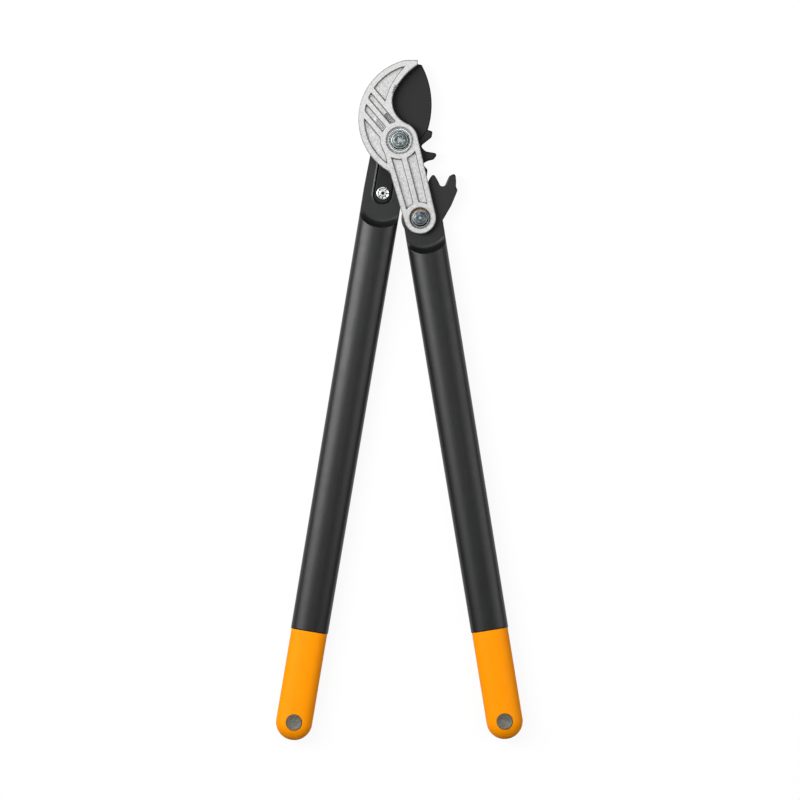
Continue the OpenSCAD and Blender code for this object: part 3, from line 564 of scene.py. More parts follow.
def make_piece(name, skin, material, body, nodes, sharp=40, marks=None, rim=None):
    """Object from a skin, riding on a body, in place of CAD nodes.

    Marks are its point attributes. An edge is sharp above an angle, or where both its ends are rim points.
    """
    points, quads, tris = skin
    mesh = bpy.data.meshes.new(name)
    corners = np.concatenate([quads.ravel(), tris.ravel()]).astype(np.int32)
    starts = np.concatenate([np.arange(len(quads)) * 4, len(quads) * 4 + np.arange(len(tris)) * 3])
    mesh.vertices.add(len(points))
    mesh.vertices.foreach_set("co", points.astype(np.float32).ravel())
    mesh.loops.add(len(corners))
    mesh.loops.foreach_set("vertex_index", corners)
    mesh.polygons.add(len(starts))
    mesh.polygons.foreach_set("loop_start", starts.astype(np.int32))
    mesh.update(calc_edges=True)
    mesh.validate()
    mesh.shade_smooth()
    mesh.set_sharp_from_angle(angle=math.radians(sharp))
    if rim is not None:
        ends, crisp = np.empty(2 * len(mesh.edges), np.int32), np.empty(len(mesh.edges), bool)
        mesh.edges.foreach_get("vertices", ends)
        mesh.edges.foreach_get("use_edge_sharp", crisp)
        mesh.edges.foreach_set("use_edge_sharp", crisp | rim[ends].reshape(-1, 2).all(1))
    for key, values in (marks or {}).items():
        mesh.attributes.new(key, "FLOAT", "POINT").data.foreach_set("value", values.astype(np.float32))
    mesh.materials.append(material)
    piece = bpy.data.objects.new(name, mesh)
    bpy.context.scene.collection.objects.link(piece)
    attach(piece, body)
    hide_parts(*nodes)


# Materials

def add_node(tree, kind, inputs=None, **settings):
    """Node with its settings; inputs are values, or sockets that are linked."""
    node = tree.nodes.new("ShaderNode" + kind)
    for key, value in settings.items():
        setattr(node, key, value)
    for key, value in (inputs or {}).items():
        if isinstance(value, bpy.types.NodeSocket):
            tree.links.new(value, node.inputs[key])
        else:
            node.inputs[key].default_value = value
    return node


def new_material(name):
    """Empty node material, its tree and its Object coordinates."""
    material = bpy.data.materials.new(name)
    material.use_nodes = True
    tree = material.node_tree
    tree.nodes.clear()
    return material, tree, add_node(tree, "TexCoord").outputs["Object"]


def finish_material(tree, **inputs):
    """Principled shader with the given inputs, joined to the output."""
    named = {key.replace("_", " ").title().replace("Ior", "IOR"): value for key, value in inputs.items()}
    shader = add_node(tree, "BsdfPrincipled", named)
    add_node(tree, "OutputMaterial", {"Surface": shader.outputs["BSDF"]})


def per_metre(millimetres):
    """Scale of a pattern whose grains are so many millimetres across."""
    return 1 / (millimetres * MM)


def opaque(colour):
    """Colour with full alpha."""
    return (*colour, 1)


def cast_aluminium(colours):
    """Die-cast aluminium, shot blasted."""
    # Blasting leaves a pale, dull silver with a fine grain and cloudy flow marks from the die
    material, tree, place = new_material("die_cast_aluminium")
    cloud = add_node(tree, "TexNoise", {"Vector": place, "Scale": per_metre(2.4), "Detail": 5,
                                        "Roughness": 0.65})
    grain = add_node(tree, "TexNoise", {"Vector": place, "Scale": per_metre(1.3), "Detail": 4})
    pocket_and_low_shade = add_node(tree, "Attribute", attribute_name="pocket_and_low_shade")
    crease = add_node(tree, "Attribute", attribute_name="crease")
    # Painted shade: the mark for pocket floors and the lower arm deepens the dull patches there
    dull = add_node(tree, "Math", {0: pocket_and_low_shade.outputs["Fac"], 1: 0.3, 2: 0.45}, operation="MULTIPLY_ADD")
    shade = add_node(tree, "MapRange", {"Value": cloud.outputs["Fac"], "From Min": 0.34,
                                        "From Max": 0.66, "To Min": 0.0, "To Max": 0.9})
    pits = add_node(tree, "MapRange", {"Value": grain.outputs["Fac"], "From Min": 0.5, "From Max": 0.7,
                                       "To Max": 0.3})
    amount = add_node(tree, "Math", {0: dull.outputs[0], 1: shade.outputs[0], 2: pits.outputs[0]},
                      operation="MULTIPLY_ADD", use_clamp=True)
    colour = add_node(tree, "Mix", {"Factor": amount.outputs[0], "A": opaque(colours.aluminium),
                                    "B": opaque(colours.aluminium_dark)}, data_type="RGBA")
    # Painted shade: the crease mask mixes dark grey into the foot of the pockets' walls, the stepped slot,
    # the notches and the outer edges
    crease_shaded = add_node(tree, "Mix", {"Factor": crease.outputs["Fac"], "A": colour.outputs["Result"],
                                   "B": opaque(colours.aluminium_crease_shade)}, data_type="RGBA")
    rough = add_node(tree, "MapRange", {"Value": grain.outputs["Fac"], "To Min": 0.42, "To Max": 0.62})
    bump = add_node(tree, "Bump", {"Height": grain.outputs["Fac"], "Strength": 0.4,
                                   "Distance": 0.15 * MM})
    finish_material(tree, base_color=crease_shaded.outputs["Result"], metallic=0.3, roughness=rough.outputs[0],
                    normal=bump.outputs[0])
    return material


def coated_steel(colours):
    """Hardened steel with a baked low-friction coating."""
    # The coating is a black, half-matt film over fine grinding lines, duller along edges; painted shade
    # darkens it along the edges, the grind line and the tang
    material, tree, place = new_material("coated_blade_steel")
    turn = add_node(tree, "Mapping", {"Vector": place, "Rotation": (0, 0, math.radians(38)),
                                      "Scale": (1, 9, 1)})
    lines = add_node(tree, "TexNoise", {"Vector": turn.outputs[0], "Scale": per_metre(5), "Detail": 4})
    ground = add_node(tree, "Attribute", attribute_name="ground")
    edge = add_node(tree, "Attribute", attribute_name="edge")
    edge_shaded = add_node(tree, "Mix", {"Factor": edge.outputs["Fac"], "A": opaque(colours.coating),
                                   "B": opaque(colours.coating_edge_shade)}, data_type="RGBA")
    # Painted shade: the tang's mark blackens its coating in the pocket
    fresh = add_node(tree, "Attribute", attribute_name="fresh")
    film = add_node(tree, "Mix", {"Factor": fresh.outputs["Fac"], "A": edge_shaded.outputs["Result"],
                                  "B": opaque(colours.coating_tang_shade)}, data_type="RGBA")
    colour = add_node(tree, "Mix", {"Factor": ground.outputs["Fac"], "A": film.outputs["Result"],
                                    "B": opaque(colours.steel)}, data_type="RGBA")
    rough = add_node(tree, "MapRange", {"Value": lines.outputs["Fac"], "To Min": 0.4, "To Max": 0.56})
    dull = add_node(tree, "Math", {0: edge.outputs["Fac"], 1: 0.5, 2: rough.outputs[0]},
                    operation="MULTIPLY_ADD", use_clamp=True)
    bump = add_node(tree, "Bump", {"Height": lines.outputs["Fac"], "Strength": 0.1,
                                   "Distance": 0.1 * MM})
    finish_material(tree, base_color=colour.outputs["Result"], metallic=ground.outputs["Fac"],
                    roughness=dull.outputs[0], normal=bump.outputs[0], specular_ior_level=0.28)
    return material


def plated_steel(name, colour_a, colour_b, rough_low, rough_high):
    """Cold-formed steel under a bright plate."""
    # Plate over pressed steel is a cool, cloudy mirror; a painted highlight lightens its rims and raised
    # rings, and painted shade blackens its hollows
    material, tree, place = new_material(name)
    painted_highlight = add_node(tree, "Attribute", attribute_name="painted_highlight")
    cloud = add_node(tree, "TexNoise", {"Vector": place, "Scale": per_metre(3), "Detail": 5,
                                        "Roughness": 0.65})
    fine = add_node(tree, "TexNoise", {"Vector": place, "Scale": per_metre(0.7), "Detail": 2})
    blend = add_node(tree, "MapRange", {"Value": cloud.outputs["Fac"], "From Min": 0.42, "From Max": 0.72,
                                        "To Max": 0.7})
    bright = add_node(tree, "Math", {0: blend.outputs[0], 1: painted_highlight.outputs["Fac"]}, operation="MAXIMUM")
    colour = add_node(tree, "Mix", {"Factor": bright.outputs[0], "A": opaque(colour_a),
                                    "B": opaque(colour_b)}, data_type="RGBA")
    # Painted shade: the shade mark blackens the plate in hollows, round heads' feet and in notches
    painted_shade = add_node(tree, "Attribute", attribute_name="painted_shade")
    shade_mixed = add_node(tree, "Mix", {"Factor": painted_shade.outputs["Fac"], "A": colour.outputs["Result"],
                                   "B": opaque(tuple(0.08 * v for v in colour_a))}, data_type="RGBA")
    rough = add_node(tree, "MapRange", {"Value": fine.outputs["Fac"], "To Min": rough_low,
                                        "To Max": rough_high})
    bump = add_node(tree, "Bump", {"Height": fine.outputs["Fac"], "Strength": 0.2,
                                   "Distance": 0.1 * MM})
    finish_material(tree, base_color=shade_mixed.outputs["Result"], metallic=1.0, roughness=rough.outputs[0],
                    normal=bump.outputs[0])
    return material


def sintered_bronze(colours):
    """Sintered bronze, soaked with oil."""
    # Pressed powder is a dull brown with dark open pores
    material, tree, place = new_material("sintered_bronze")
    pores = add_node(tree, "TexVoronoi", {"Vector": place, "Scale": per_metre(0.6)})
    dark = tuple(0.45 * v for v in colours.bronze)
    blend = add_node(tree, "MapRange", {"Value": pores.outputs["Distance"], "From Max": 0.5})
    colour = add_node(tree, "Mix", {"Factor": blend.outputs[0], "A": opaque(dark),
                                    "B": opaque(colours.bronze)}, data_type="RGBA")
    bump = add_node(tree, "Bump", {"Height": pores.outputs["Distance"], "Strength": 0.3,
                                   "Distance": 0.1 * MM})
    finish_material(tree, base_color=colour.outputs["Result"], metallic=0.8, roughness=0.5,
                    normal=bump.outputs[0])
    return material


def handle_polyamide(colours):
    """Glass-fibre polyamide, moulded in a finely eroded die."""
    # The die's texture gives a dull dark grey with a soft sheen, and fibres leave pale flecks along the flow
    material, tree, place = new_material("glass_fibre_polyamide")
    flow = add_node(tree, "Mapping", {"Vector": place, "Scale": (1, 0.25, 1)})
    fleck = add_node(tree, "TexNoise", {"Vector": flow.outputs[0], "Scale": per_metre(0.9), "Detail": 3})
    cloud = add_node(tree, "TexNoise", {"Vector": place, "Scale": per_metre(9), "Detail": 4})
    grain = add_node(tree, "TexNoise", {"Vector": place, "Scale": per_metre(0.8), "Detail": 4,
                                        "Roughness": 0.7})
    pale = add_node(tree, "MapRange", {"Value": fleck.outputs["Fac"], "From Min": 0.52, "From Max": 0.8,
                                       "To Max": 0.75})
    colour = add_node(tree, "Mix", {"Factor": pale.outputs[0], "A": opaque(colours.polyamide),
                                    "B": opaque(colours.polyamide_pale)}, data_type="RGBA")
    rough = add_node(tree, "MapRange", {"Value": cloud.outputs["Fac"], "To Min": 0.36, "To Max": 0.46})
    bump = add_node(tree, "Bump", {"Height": grain.outputs["Fac"], "Strength": 0.22,
                                   "Distance": 0.12 * MM})
    finish_material(tree, base_color=colour.outputs["Result"], roughness=rough.outputs[0], ior=1.53,
                    normal=bump.outputs[0], specular_ior_level=0.43)
    return material


def grip_polymer(colours):
    """Soft thermoplastic, moulded in a satin die."""
    # A satin orange with a faint cloud of colour and a broad, soft highlight
    material, tree, place = new_material("orange_soft_polymer")
    cloud = add_node(tree, "TexNoise", {"Vector": place, "Scale": per_metre(14), "Detail": 3})
    grain = add_node(tree, "TexNoise", {"Vector": place, "Scale": per_metre(0.7), "Detail": 3})
    colour = add_node(tree, "Mix", {"Factor": cloud.outputs["Fac"], "A": opaque(colours.orange),
                                    "B": opaque(colours.orange_deep)}, data_type="RGBA")
    rough = add_node(tree, "MapRange", {"Value": grain.outputs["Fac"], "To Min": 0.42, "To Max": 0.56})
    bump = add_node(tree, "Bump", {"Height": grain.outputs["Fac"], "Strength": 0.08,
                                   "Distance": 0.1 * MM})
    finish_material(tree, base_color=colour.outputs["Result"], roughness=rough.outputs[0], ior=1.5,
                    normal=bump.outputs[0], specular_ior_level=0.08)
    return material


def pin_polymer(colours):
    """Grey glass-filled polymer with a coarse grain."""
    # Coarse filler shows as a pepper of pale and dark grains
    material, tree, place = new_material("grey_filled_polymer")
    grain = add_node(tree, "TexNoise", {"Vector": place, "Scale": per_metre(1.6), "Detail": 5,
                                        "Roughness": 0.8})
    blend = add_node(tree, "MapRange", {"Value": grain.outputs["Fac"], "From Min": 0.4, "From Max": 0.58})
    # Painted shade: the pin's rim and sides are darkened
    painted_shade = add_node(tree, "Attribute", attribute_name="painted_shade")
    unshaded = add_node(tree, "Math", {0: 1.0, 1: painted_shade.outputs["Fac"]}, operation="SUBTRACT")
    pale = add_node(tree, "Math", {0: blend.outputs[0], 1: unshaded.outputs[0]}, operation="MULTIPLY")
    colour = add_node(tree, "Mix", {"Factor": pale.outputs[0], "A": opaque(colours.pin_dark),
                                    "B": opaque(colours.pin)}, data_type="RGBA")
    bump = add_node(tree, "Bump", {"Height": grain.outputs["Fac"], "Strength": 0.3,
                                   "Distance": 0.15 * MM})
    finish_material(tree, base_color=colour.outputs["Result"], roughness=0.6, ior=1.5, normal=bump.outputs[0])
    return material


def studio_paper(colours):
    """Matt studio paper, white to the lens."""
    # The paper's fibre shows only as a faint unevenness; what the lens sees of it is nearly all white
    material, tree, place = new_material("studio_paper")
    fibre = add_node(tree, "TexNoise", {"Vector": place, "Scale": per_metre(2), "Detail": 2})
    bump = add_node(tree, "Bump", {"Height": fibre.outputs["Fac"], "Strength": 0.05,
                                   "Distance": 0.1 * MM})
    matt = add_node(tree, "BsdfDiffuse", {"Color": opaque(colours.paper), "Normal": bump.outputs[0]})
    dim = add_node(tree, "BsdfDiffuse", {"Color": (0.35, 0.35, 0.35, 1), "Normal": bump.outputs[0]})
    glow = add_node(tree, "Emission", {"Color": opaque(colours.paper), "Strength": 1})
    white = add_node(tree, "MixShader", {"Fac": 0.92, 1: matt.outputs[0], 2: glow.outputs[0]})
    ray = add_node(tree, "LightPath")
    seen = add_node(tree, "Math", {0: ray.outputs["Is Camera Ray"], 1: ray.outputs["Is Glossy Ray"]},
                    operation="MAXIMUM")
    through = add_node(tree, "Math", {0: seen.outputs[0], 1: ray.outputs["Is Transmission Ray"]},
                       operation="MAXIMUM")
    surface = add_node(tree, "MixShader", {"Fac": through.outputs[0], 1: dim.outputs[0],
                                           2: white.outputs[0]})
    add_node(tree, "OutputMaterial", {"Surface": surface.outputs[0]})
    return material


# Casting

def anvil_arcs(s):
    """Centres of the anvil's and the throat's arcs, and the directions of the tip and of their join.

    The throat's arc touches the boss and the anvil's arc.
    """
    anvil = np.array([s.anvil_x, s.anvil_y])
    throat = meet(np.zeros(2), s.boss_r + s.throat_r, anvil, s.anvil_r - s.throat_r)
    tip_turn = 180 - math.degrees(math.acos((s.anvil_x - s.tip_x) / s.anvil_r))
    return anvil, throat, tip_turn, heading(throat - anvil)


def anvil_edge(s, back, end, n=60):
    """Path down the anvil's edge and the throat, set into the casting by back, with its outward normals."""
    anvil, throat, tip_turn, turn = anvil_arcs(s)
    upper, lower = np.linspace(tip_turn, turn, n), np.linspace(turn, end, n)[1:]
    path = np.concatenate([anvil + polar(s.anvil_r + back, upper), throat + polar(s.throat_r + back, lower)])
    return path, np.concatenate([polar(1, upper), polar(1, lower)])


def arm_axes(s):
    """Link pivot, direction along the arm, to its right, and out of its tapering left and right sides."""
    link = middle("link_bolt")
    along = link / np.linalg.norm(link)
    side = turned(along, 90)
    fall = math.degrees(math.asin((s.boss_r - s.end_r) / np.linalg.norm(link)))
    return link, along, side, -turned(side, fall), turned(side, -fall)


def casting_field(s):
    """Signed distance from the casting's outline: boss, arm, hook and chin together, with small teeth."""
    hook = np.array([s.hook_x, s.hook_y])
    link, along, _, left, right = arm_axes(s)
    anvil, throat, tip_turn, turn = anvil_arcs(s)
    foot = on_circle(hook, s.hook_r, left, s.boss_r)
    top_turn = 180 - math.degrees(math.asin((s.tip_y - s.hook_y) / s.hook_r))
    # Small teeth on the anvil's edge above the throat: a sawtooth taken off the edge's radius
    close = turn - TOOTHED_TURN
    edge = np.concatenate([np.linspace(turn, close, 70), np.linspace(close, tip_turn, 40)[1:]])
    run = np.radians(turn - edge) * s.anvil_r
    teeth = (run > 0.3 * MM) & (run < s.notch_run / 2)
    saw = s.tooth_h * np.abs((run / s.tooth_pitch) % 1 - 0.5) * 2 * teeth
    hook_loop = np.concatenate([
        arc(hook, s.hook_r, top_turn, heading(foot - hook), 90), np.zeros((1, 2)),
        arc(throat, s.throat_r, heading(-throat), turn, 40)[:-1],
        anvil + polar(1, edge) * (s.anvil_r + saw)[:, None], [[s.tip_x, s.tip_y]]])
    arm_loop = np.array([s.boss_r * right, link + s.end_r * right, link + s.end_r * left, s.boss_r * left])
    c = on_circle(hook, s.hook_r + s.chin_r, left, s.boss_r + s.chin_r)
    start = heading(hook - c)
    chin_arc = arc(c, s.chin_r, start, start + short_turn(start, heading(-left)))
    chin_loop = np.concatenate([[(c @ along) * along], chin_arc])
    return union(disc((0, 0), s.boss_r), disc(link, s.end_r), polygon(arm_loop), polygon(hook_loop),
                 polygon(chin_loop))


def casting_pockets(s, p):
    """Depth into each pocket at points p: how far inside its borders, circles and straight ribs, they lie.

    The pockets are the tip's, the first and second slot, the chin's and the arm's two. The points'
    distance along the hook's ribs comes last.
    """
    def inside(*gaps):
        return -both(gaps, s.corner_ease)

    link, along, side, _, _ = arm_axes(s)
    rib_turn = math.degrees(s.rib_turn)
    reach, across, aside, down = p @ polar(1, rib_turn), p @ polar(1, rib_turn + 90), p @ side, p @ along
    from_hook = np.linalg.norm(p - (s.hook_x, s.hook_y), axis=-1) - (s.hook_r - s.hook_border)
    wide = s.anvil_border + s.tip_border * np.clip(2 * p[:, 1] / s.tip_y - 1, 0, 1)
    from_anvil = s.anvil_r + wide - np.linalg.norm(p - (s.anvil_x, s.anvil_y), axis=-1)
    from_boss = s.boss_r + s.boss_land - np.linalg.norm(p, axis=-1)
    from_link = s.link_land_r - np.linalg.norm(p - link, axis=-1)
    first, step = s.rib_start - s.rib_w, s.rib_w + s.slot_w
    tip = inside(from_hook, from_anvil, s.rib_start - across)
    slots = [inside(from_hook, from_boss, reach, across - top, top - s.slot_w - across)
             for top in (first, first - step)]
    chin = inside(from_hook, from_boss, across - (first - 2 * step), aside + s.boss_r - s.boss_land)
    border = s.boss_r + (s.end_r - s.boss_r) * down / np.linalg.norm(link) - s.arm_border
    arms = [inside(from_boss, from_link, -down, s.arm_rib_w / 2 - k * aside, k * aside - border)
            for k in (-1, 1)]
    return [tip, *slots, chin, *arms], reach


def anvil_notches(s, p, depth):
    """Mask of the notches across the anvil's edge above the throat: stripes in a narrow band along it."""
    run, soft, aside = p[:, 1] - s.notch_y, 0.6 * MM, 12 * MM
    row = ease(run / soft) * ease((s.notch_run - run) / soft) * (np.abs(p[:, 0]) < aside)
    band = ease((s.notch_w - depth) / (0.5 * MM)) * ease((depth - 0.2 * MM) / (0.3 * MM))
    return row * band * (np.cos(run * 2 * np.pi / s.tooth_pitch) > -0.1)


def casting_front(s, recesses):
    """Height of the casting's front: its plane, less rounded edges and the pockets' drafted walls."""
    top = front_of("anvil_arm")

    def height(p, depth):
        depths, reach = casting_pockets(s, p)
        sunk = sum(s.pocket_d * ease((d + s.draft_lead) / s.draft) for d in depths)
        # The first slot steps down at its lower end, and a fine comb crosses the step
        comb = 0.5 + 0.5 * np.cos(reach * 2 * np.pi / s.comb_pitch)
        stepped = ease((depths[1] - 0.6 * MM) / (0.8 * MM)) * ease((reach + s.step_reach) / MM)
        sunk += (s.step_d + s.comb_d * comb) * stepped
        # A low ridge runs up the lower half of the second slot
        ridge = np.clip(1 - np.abs(depths[2] - s.ridge_in) / s.ridge_half, 0, 1)
        sunk -= s.ridge_h * ridge * ease((reach + s.ridge_reach) / s.ridge_run)
        sunk += s.notch_d * anvil_notches(s, p, depth)
        gap = np.minimum.reduce([hole(p) for hole in recesses])
        outer, inner = edge_drop(depth, s.edge_round), edge_drop(gap, s.recess_round)
        return top - sunk - np.where(gap > depth + TOUCH, outer, inner)

    return height


def anvil_wall(s):
    """Grooved wall behind the hook: a profile of (depth into the casting, height) carried down its edge."""
    path, normal = anvil_edge(s, 0, WALL_END)
    hook = np.array([s.hook_x, s.hook_y])
    # Room between the edge and the hook's outer edge, along each normal
    b = ((path - hook) * normal).sum(-1)
    room = -b + np.sqrt(np.maximum(b * b - ((path - hook) ** 2).sum(-1) + s.hook_r ** 2, 0))
    room = np.minimum(room, (s.tip_y - path[:, 1]) / np.maximum(normal[:, 1], TINY)) - s.edge_round
    w = np.minimum(s.wall_w, room)
    g = np.minimum(s.groove_d, room / 2)
    low, high = back_of("anvil_arm"), front_of("front_thrust_washer") + MM
    z0, z1 = back_of("blade") - s.groove_gap, front_of("blade") + s.groove_gap
    soft, zero = s.back_round, 0 * w
    deep = np.stack([zero, zero, g, g, zero, zero, zero + soft, w - soft, w, w], -1)
    z = np.array([high, z1, z1, z0, z0, low + soft, low, low, low + soft, high])
    flat = path[:, None] + deep[..., None] * normal[:, None]
    rings = np.concatenate([flat, np.broadcast_to(z[None, :, None], deep.shape + (1,))], -1)
    return ring_skin(rings[:, ::-1])


def recess_floor(centre, r, floor, bore, ledge_w):
    """Floor of a round recess, with a ledge under its rim: a profile turned about the pivot's axis."""
    low, shelf, lift = front_of("front_thrust_washer"), front_of("anvil_arm") - 0.5 * MM, floor + 0.3 * MM
    eave, slit, soft = r + 0.4 * MM, r - 0.5 * MM, 0.2 * MM
    inner = r - ledge_w
    ledge = [(slit, lift), (slit, shelf - soft), (slit - soft, shelf), (inner + soft, shelf),
             (inner, shelf - soft)] if ledge_w else []
    profile = [(bore, low), (eave, low), (eave, lift), *ledge, (inner, floor), (bore, floor)]
    return band_skin(lathe_rings(centre, profile, FACETS))


class LOPPER_OT_casting(bpy.types.Operator):
    """Die-cast hook and arm with pockets, ribs, recesses and a grooved anvil wall"""
    bl_idname = "lopper.casting"
    bl_label = "Casting"

    def execute(self, context):
        scene = context.scene
        s = scene.lopper_casting
        link = middle("link_bolt")
        recesses = [disc((0, 0), s.boss_recess_r), disc(link, s.link_recess_r)]
        low, high = (np.array(v)[:2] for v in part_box("anvil_arm"))
        back_z, top = front_of("front_thrust_washer"), front_of("anvil_arm")

        def back(p, depth):
            return back_z + edge_drop(depth, s.back_round)

        plate, rim = plate_skin(cut(casting_field(s), *recesses), low, high, s.pitch,
                                casting_front(s, recesses), back)
        boss = recess_floor((0, 0), s.boss_recess_r, top - s.boss_recess_d, s.boss_bore_r, s.boss_ledge_w)
        bush = recess_floor(link, s.link_recess_r, top - s.link_recess_d, s.link_bore_r, 0)
        skin = joined(plate, boss, bush, anvil_wall(s))
        at, rest = plate[0][:, :2], (0, len(skin[0]) - len(rim))
        depths, reach = casting_pockets(s, at)
        # Painted shade: the pockets' floors are darker, and the lands darker and darker down the arm
        floor_shade = 0.85 * np.max([ease(d / s.draft) for d in depths], 0)
        low_shade = 0.9 * ease((s.tip_y / 2 - at[:, 1]) / s.tip_y)
        # Painted shade darkens the foot of the pockets' walls, the stepped slot, the anvil's notches and the
        # outer edges, on the front only
        foot = np.max([0.85 * np.exp(-((d - 0.1 * MM) / (0.45 * MM)) ** 2) for d in depths], 0)
        end = 0.45 * ease((depths[1] - 0.2 * MM) / MM) * ease((reach + s.step_reach) / MM)
        edges = 0.72 * (1 - ease(rim / (1.5 * MM)))
        before = plate[0][:, 2] > back_z + 2 * MM
        crease_shade_mask = np.maximum.reduce([foot, edges, end, 0.8 * anvil_notches(s, at, rim)]) * before
        marks = {"pocket_and_low_shade": np.pad(np.maximum(floor_shade, low_shade), rest), "crease": np.pad(crease_shade_mask, rest)}
        make_piece("anvil_casting", skin, cast_aluminium(scene.lopper_colours), "arm",
                   ["anvil_arm"], sharp=75, marks=marks, rim=np.pad(rim < ON_RIM, rest))
        return {"FINISHED"}


# Blade and handles

def right_of(up):
    """Direction to the right of an upward one."""
    return np.array([up[1], -up[0]])


def handle_frame(scene, side):
    """Origin and upward direction of a handle's own frame, and the length of its tube, from its grip pin."""
    h, g = scene.lopper_handles, scene.lopper_grips
    up = middle("tang_screw") - middle("left_grip_pin")
    if side == "left":
        return middle("tang_screw"), up / np.linalg.norm(up), np.linalg.norm(up) - g.length
    up = np.array([-up[0], up[1]]) / np.linalg.norm(up)
    start = middle("link_bolt") + h.link_offset * right_of(up)
    return start, up, np.linalg.norm(start - middle("right_grip_pin")) - g.length


def placed(start, up, x, y, z):
    """Points of a handle's own frame in the shared one: start + x to the right + y up, at height z."""
    flat = np.asarray(start) + x[..., None] * right_of(up) + y[..., None] * up
    return np.concatenate([flat, np.broadcast_to(z, x.shape)[..., None]], -1)


class LOPPER_OT_blade(bpy.types.Operator):
    """Coated blade with its ground leaf, bevelled edge, teeth, hub and tang"""
    bl_idname = "lopper.blade"
    bl_label = "Blade"

    def execute(self, context):
        scene = context.scene
        s, c = scene.lopper_blade, scene.lopper_casting
        span = np.linalg.norm(middle("link_bolt"))
        edge_path, _ = anvil_edge(c, c.groove_d - c.groove_gap, EDGE_END)
        spine = np.array([s.spine_x - s.spine_r, s.spine_y])
        tip = math.degrees(math.asin((s.tip_y - s.spine_y) / s.spine_r))
        leaf = np.concatenate([edge_path, np.zeros((1, 2)), arc(spine, s.spine_r, SPINE_START, tip, 90)])
        start, up, _ = handle_frame(scene, "left")
        reach = up @ -start - s.hub_r / 2

        def tang(p):
            x, y = (p - start) @ right_of(up), (p - start) @ up
            past = y - np.clip(y, -s.tang_sink, reach)
            return np.where(y > reach, np.maximum(np.abs(x) - s.tang_r, past), np.hypot(x, past) - s.tang_r)

        teeth = polygon(rounded(BLADE_TEETH_SHARES, span))
        outline = cut(union(polygon(leaf), disc((0, 0), s.hub_r), teeth, tang),
                      disc((0, 0), s.hub_bore_r), disc(start, s.screw_bore_r))
        low_z, high_z = back_of("blade"), front_of("blade")
        rise = (high_z - low_z) / 2 - s.edge_t / 2
        grind_a, grind_b = np.array(GRIND_SHARES) * span
        grind_n = turned(grind_a - grind_b, 90) / np.linalg.norm(grind_a - grind_b)

        def from_edge(p, width):
            return rise * (1 - np.clip(path_gap(edge_path, p) / width, 0, 1))

        def front(p, depth):
            above = ease(((p - grind_b) @ grind_n) / (0.8 * MM)) * ease(p[:, 1] / MM)
            above *= np.linalg.norm(p, axis=-1) > c.boss_r
            fall = np.maximum(from_edge(p, s.front_bevel), edge_drop(depth, s.edge_round, SOFT_FALL))
            return high_z - np.maximum(fall, s.grind_d * above)

        def back(p, depth):
            return low_z + np.maximum(from_edge(p, s.bevel_w), edge_drop(depth, s.edge_round, SOFT_FALL))

        low, high = (np.array(v)[:2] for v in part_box("blade"))
        skin, depth = plate_skin(outline, low, high, s.pitch, front, back)
        at = skin[0][:, :2]
        ground = ease((s.bright_w - path_gap(edge_path, at)) / (0.4 * MM))
        # Painted shade: the edge mark darkens the coating along the edges and along the grind line
        line = np.exp(-(((at - grind_b) @ grind_n) / s.grind_line) ** 2) * (at[:, 1] > 0)
        edge = np.maximum(1 - ease(depth / s.dark_w), line * (at @ grind_a > grind_b @ grind_a / 2))
        # Painted shade: the tang is blackened in its pocket, fading out towards its upper end
        fresh = ease(-tang(at) / MM) * ease((reach - (at - start) @ up) / s.tang_shade_run)
        make_piece("cutting_blade", skin, coated_steel(scene.lopper_colours), "blade_side",
                   ["blade"], marks={"ground": ground, "edge": edge, "fresh": fresh}, rim=depth < ON_RIM)
        return {"FINISHED"}


def handle_rings(scene, side, top):
    """Rings of a handle from a height down, in its own frame: an oval tube with a flattened neck.

    At y above the handle's own start, the section is |x/a|^p + |z/b|^p = 1. Its front is lowered to
    the flat and comes back to the oval as a power of the distance past an arc across the tube, and
    its back is raised in the same way.
    """
    h = scene.lopper_handles
    _, _, length = handle_frame(scene, side)
    drop = h.left_drop if side == "left" else h.right_drop
    # Rings lie close along the neck and wide down the tube, with two at its end
    near = np.arange(top, -drop - h.neck_run, -h.pitch)
    far = np.arange(near[-1] - h.ring_pitch / 2, -length, -h.ring_pitch)
    stations = np.concatenate([near, far, [h.end_ease - length, -length]])
    y = stations[:, None]
    share = np.clip(-stations / length, 0, 1)
    width, depth = h.tube_w + (h.end_w - h.tube_w) * share, h.tube_d + (h.end_d - h.tube_d) * share
    x, z = oval(width, depth, h.squareness, TUBE_POINTS)
    z = h.tube_d / 2 + z
    flat, low, soft = front_of("right_link_bush"), back_of("tang_nut"), 0.35 * MM

    def oval_share(end, run, power):
        bow = h.scoop_r - np.sqrt(np.maximum(h.scoop_r ** 2 - x ** 2, 0))
        return np.clip((-y + bow - end + run) / run, 0, 1) ** power

    under = -soft * np.logaddexp(-z / soft, -flat / soft)
    z = under + (z - under) * oval_share(drop, h.scoop_run, 2.2)
    over = soft * np.logaddexp(z / soft, low / soft)
    z = over + (z - over) * oval_share(drop - h.back_short, h.scoop_run / 2, 2)
    return x, np.broadcast_to(y, x.shape), z


def tube_skin(scene, side, x, y, z):
    """Skin of a handle's rings in the shared frame, with the last ring drawn in to ease the tube's end."""
    h = scene.lopper_handles
    start, up, length = handle_frame(scene, side)
    tail = np.where(y < h.end_ease / 2 - length, END_SHARE, 1)
    mid = h.tube_d / 2
    return ring_skin(placed(start, up, x * tail, y, mid + (z - mid) * tail))


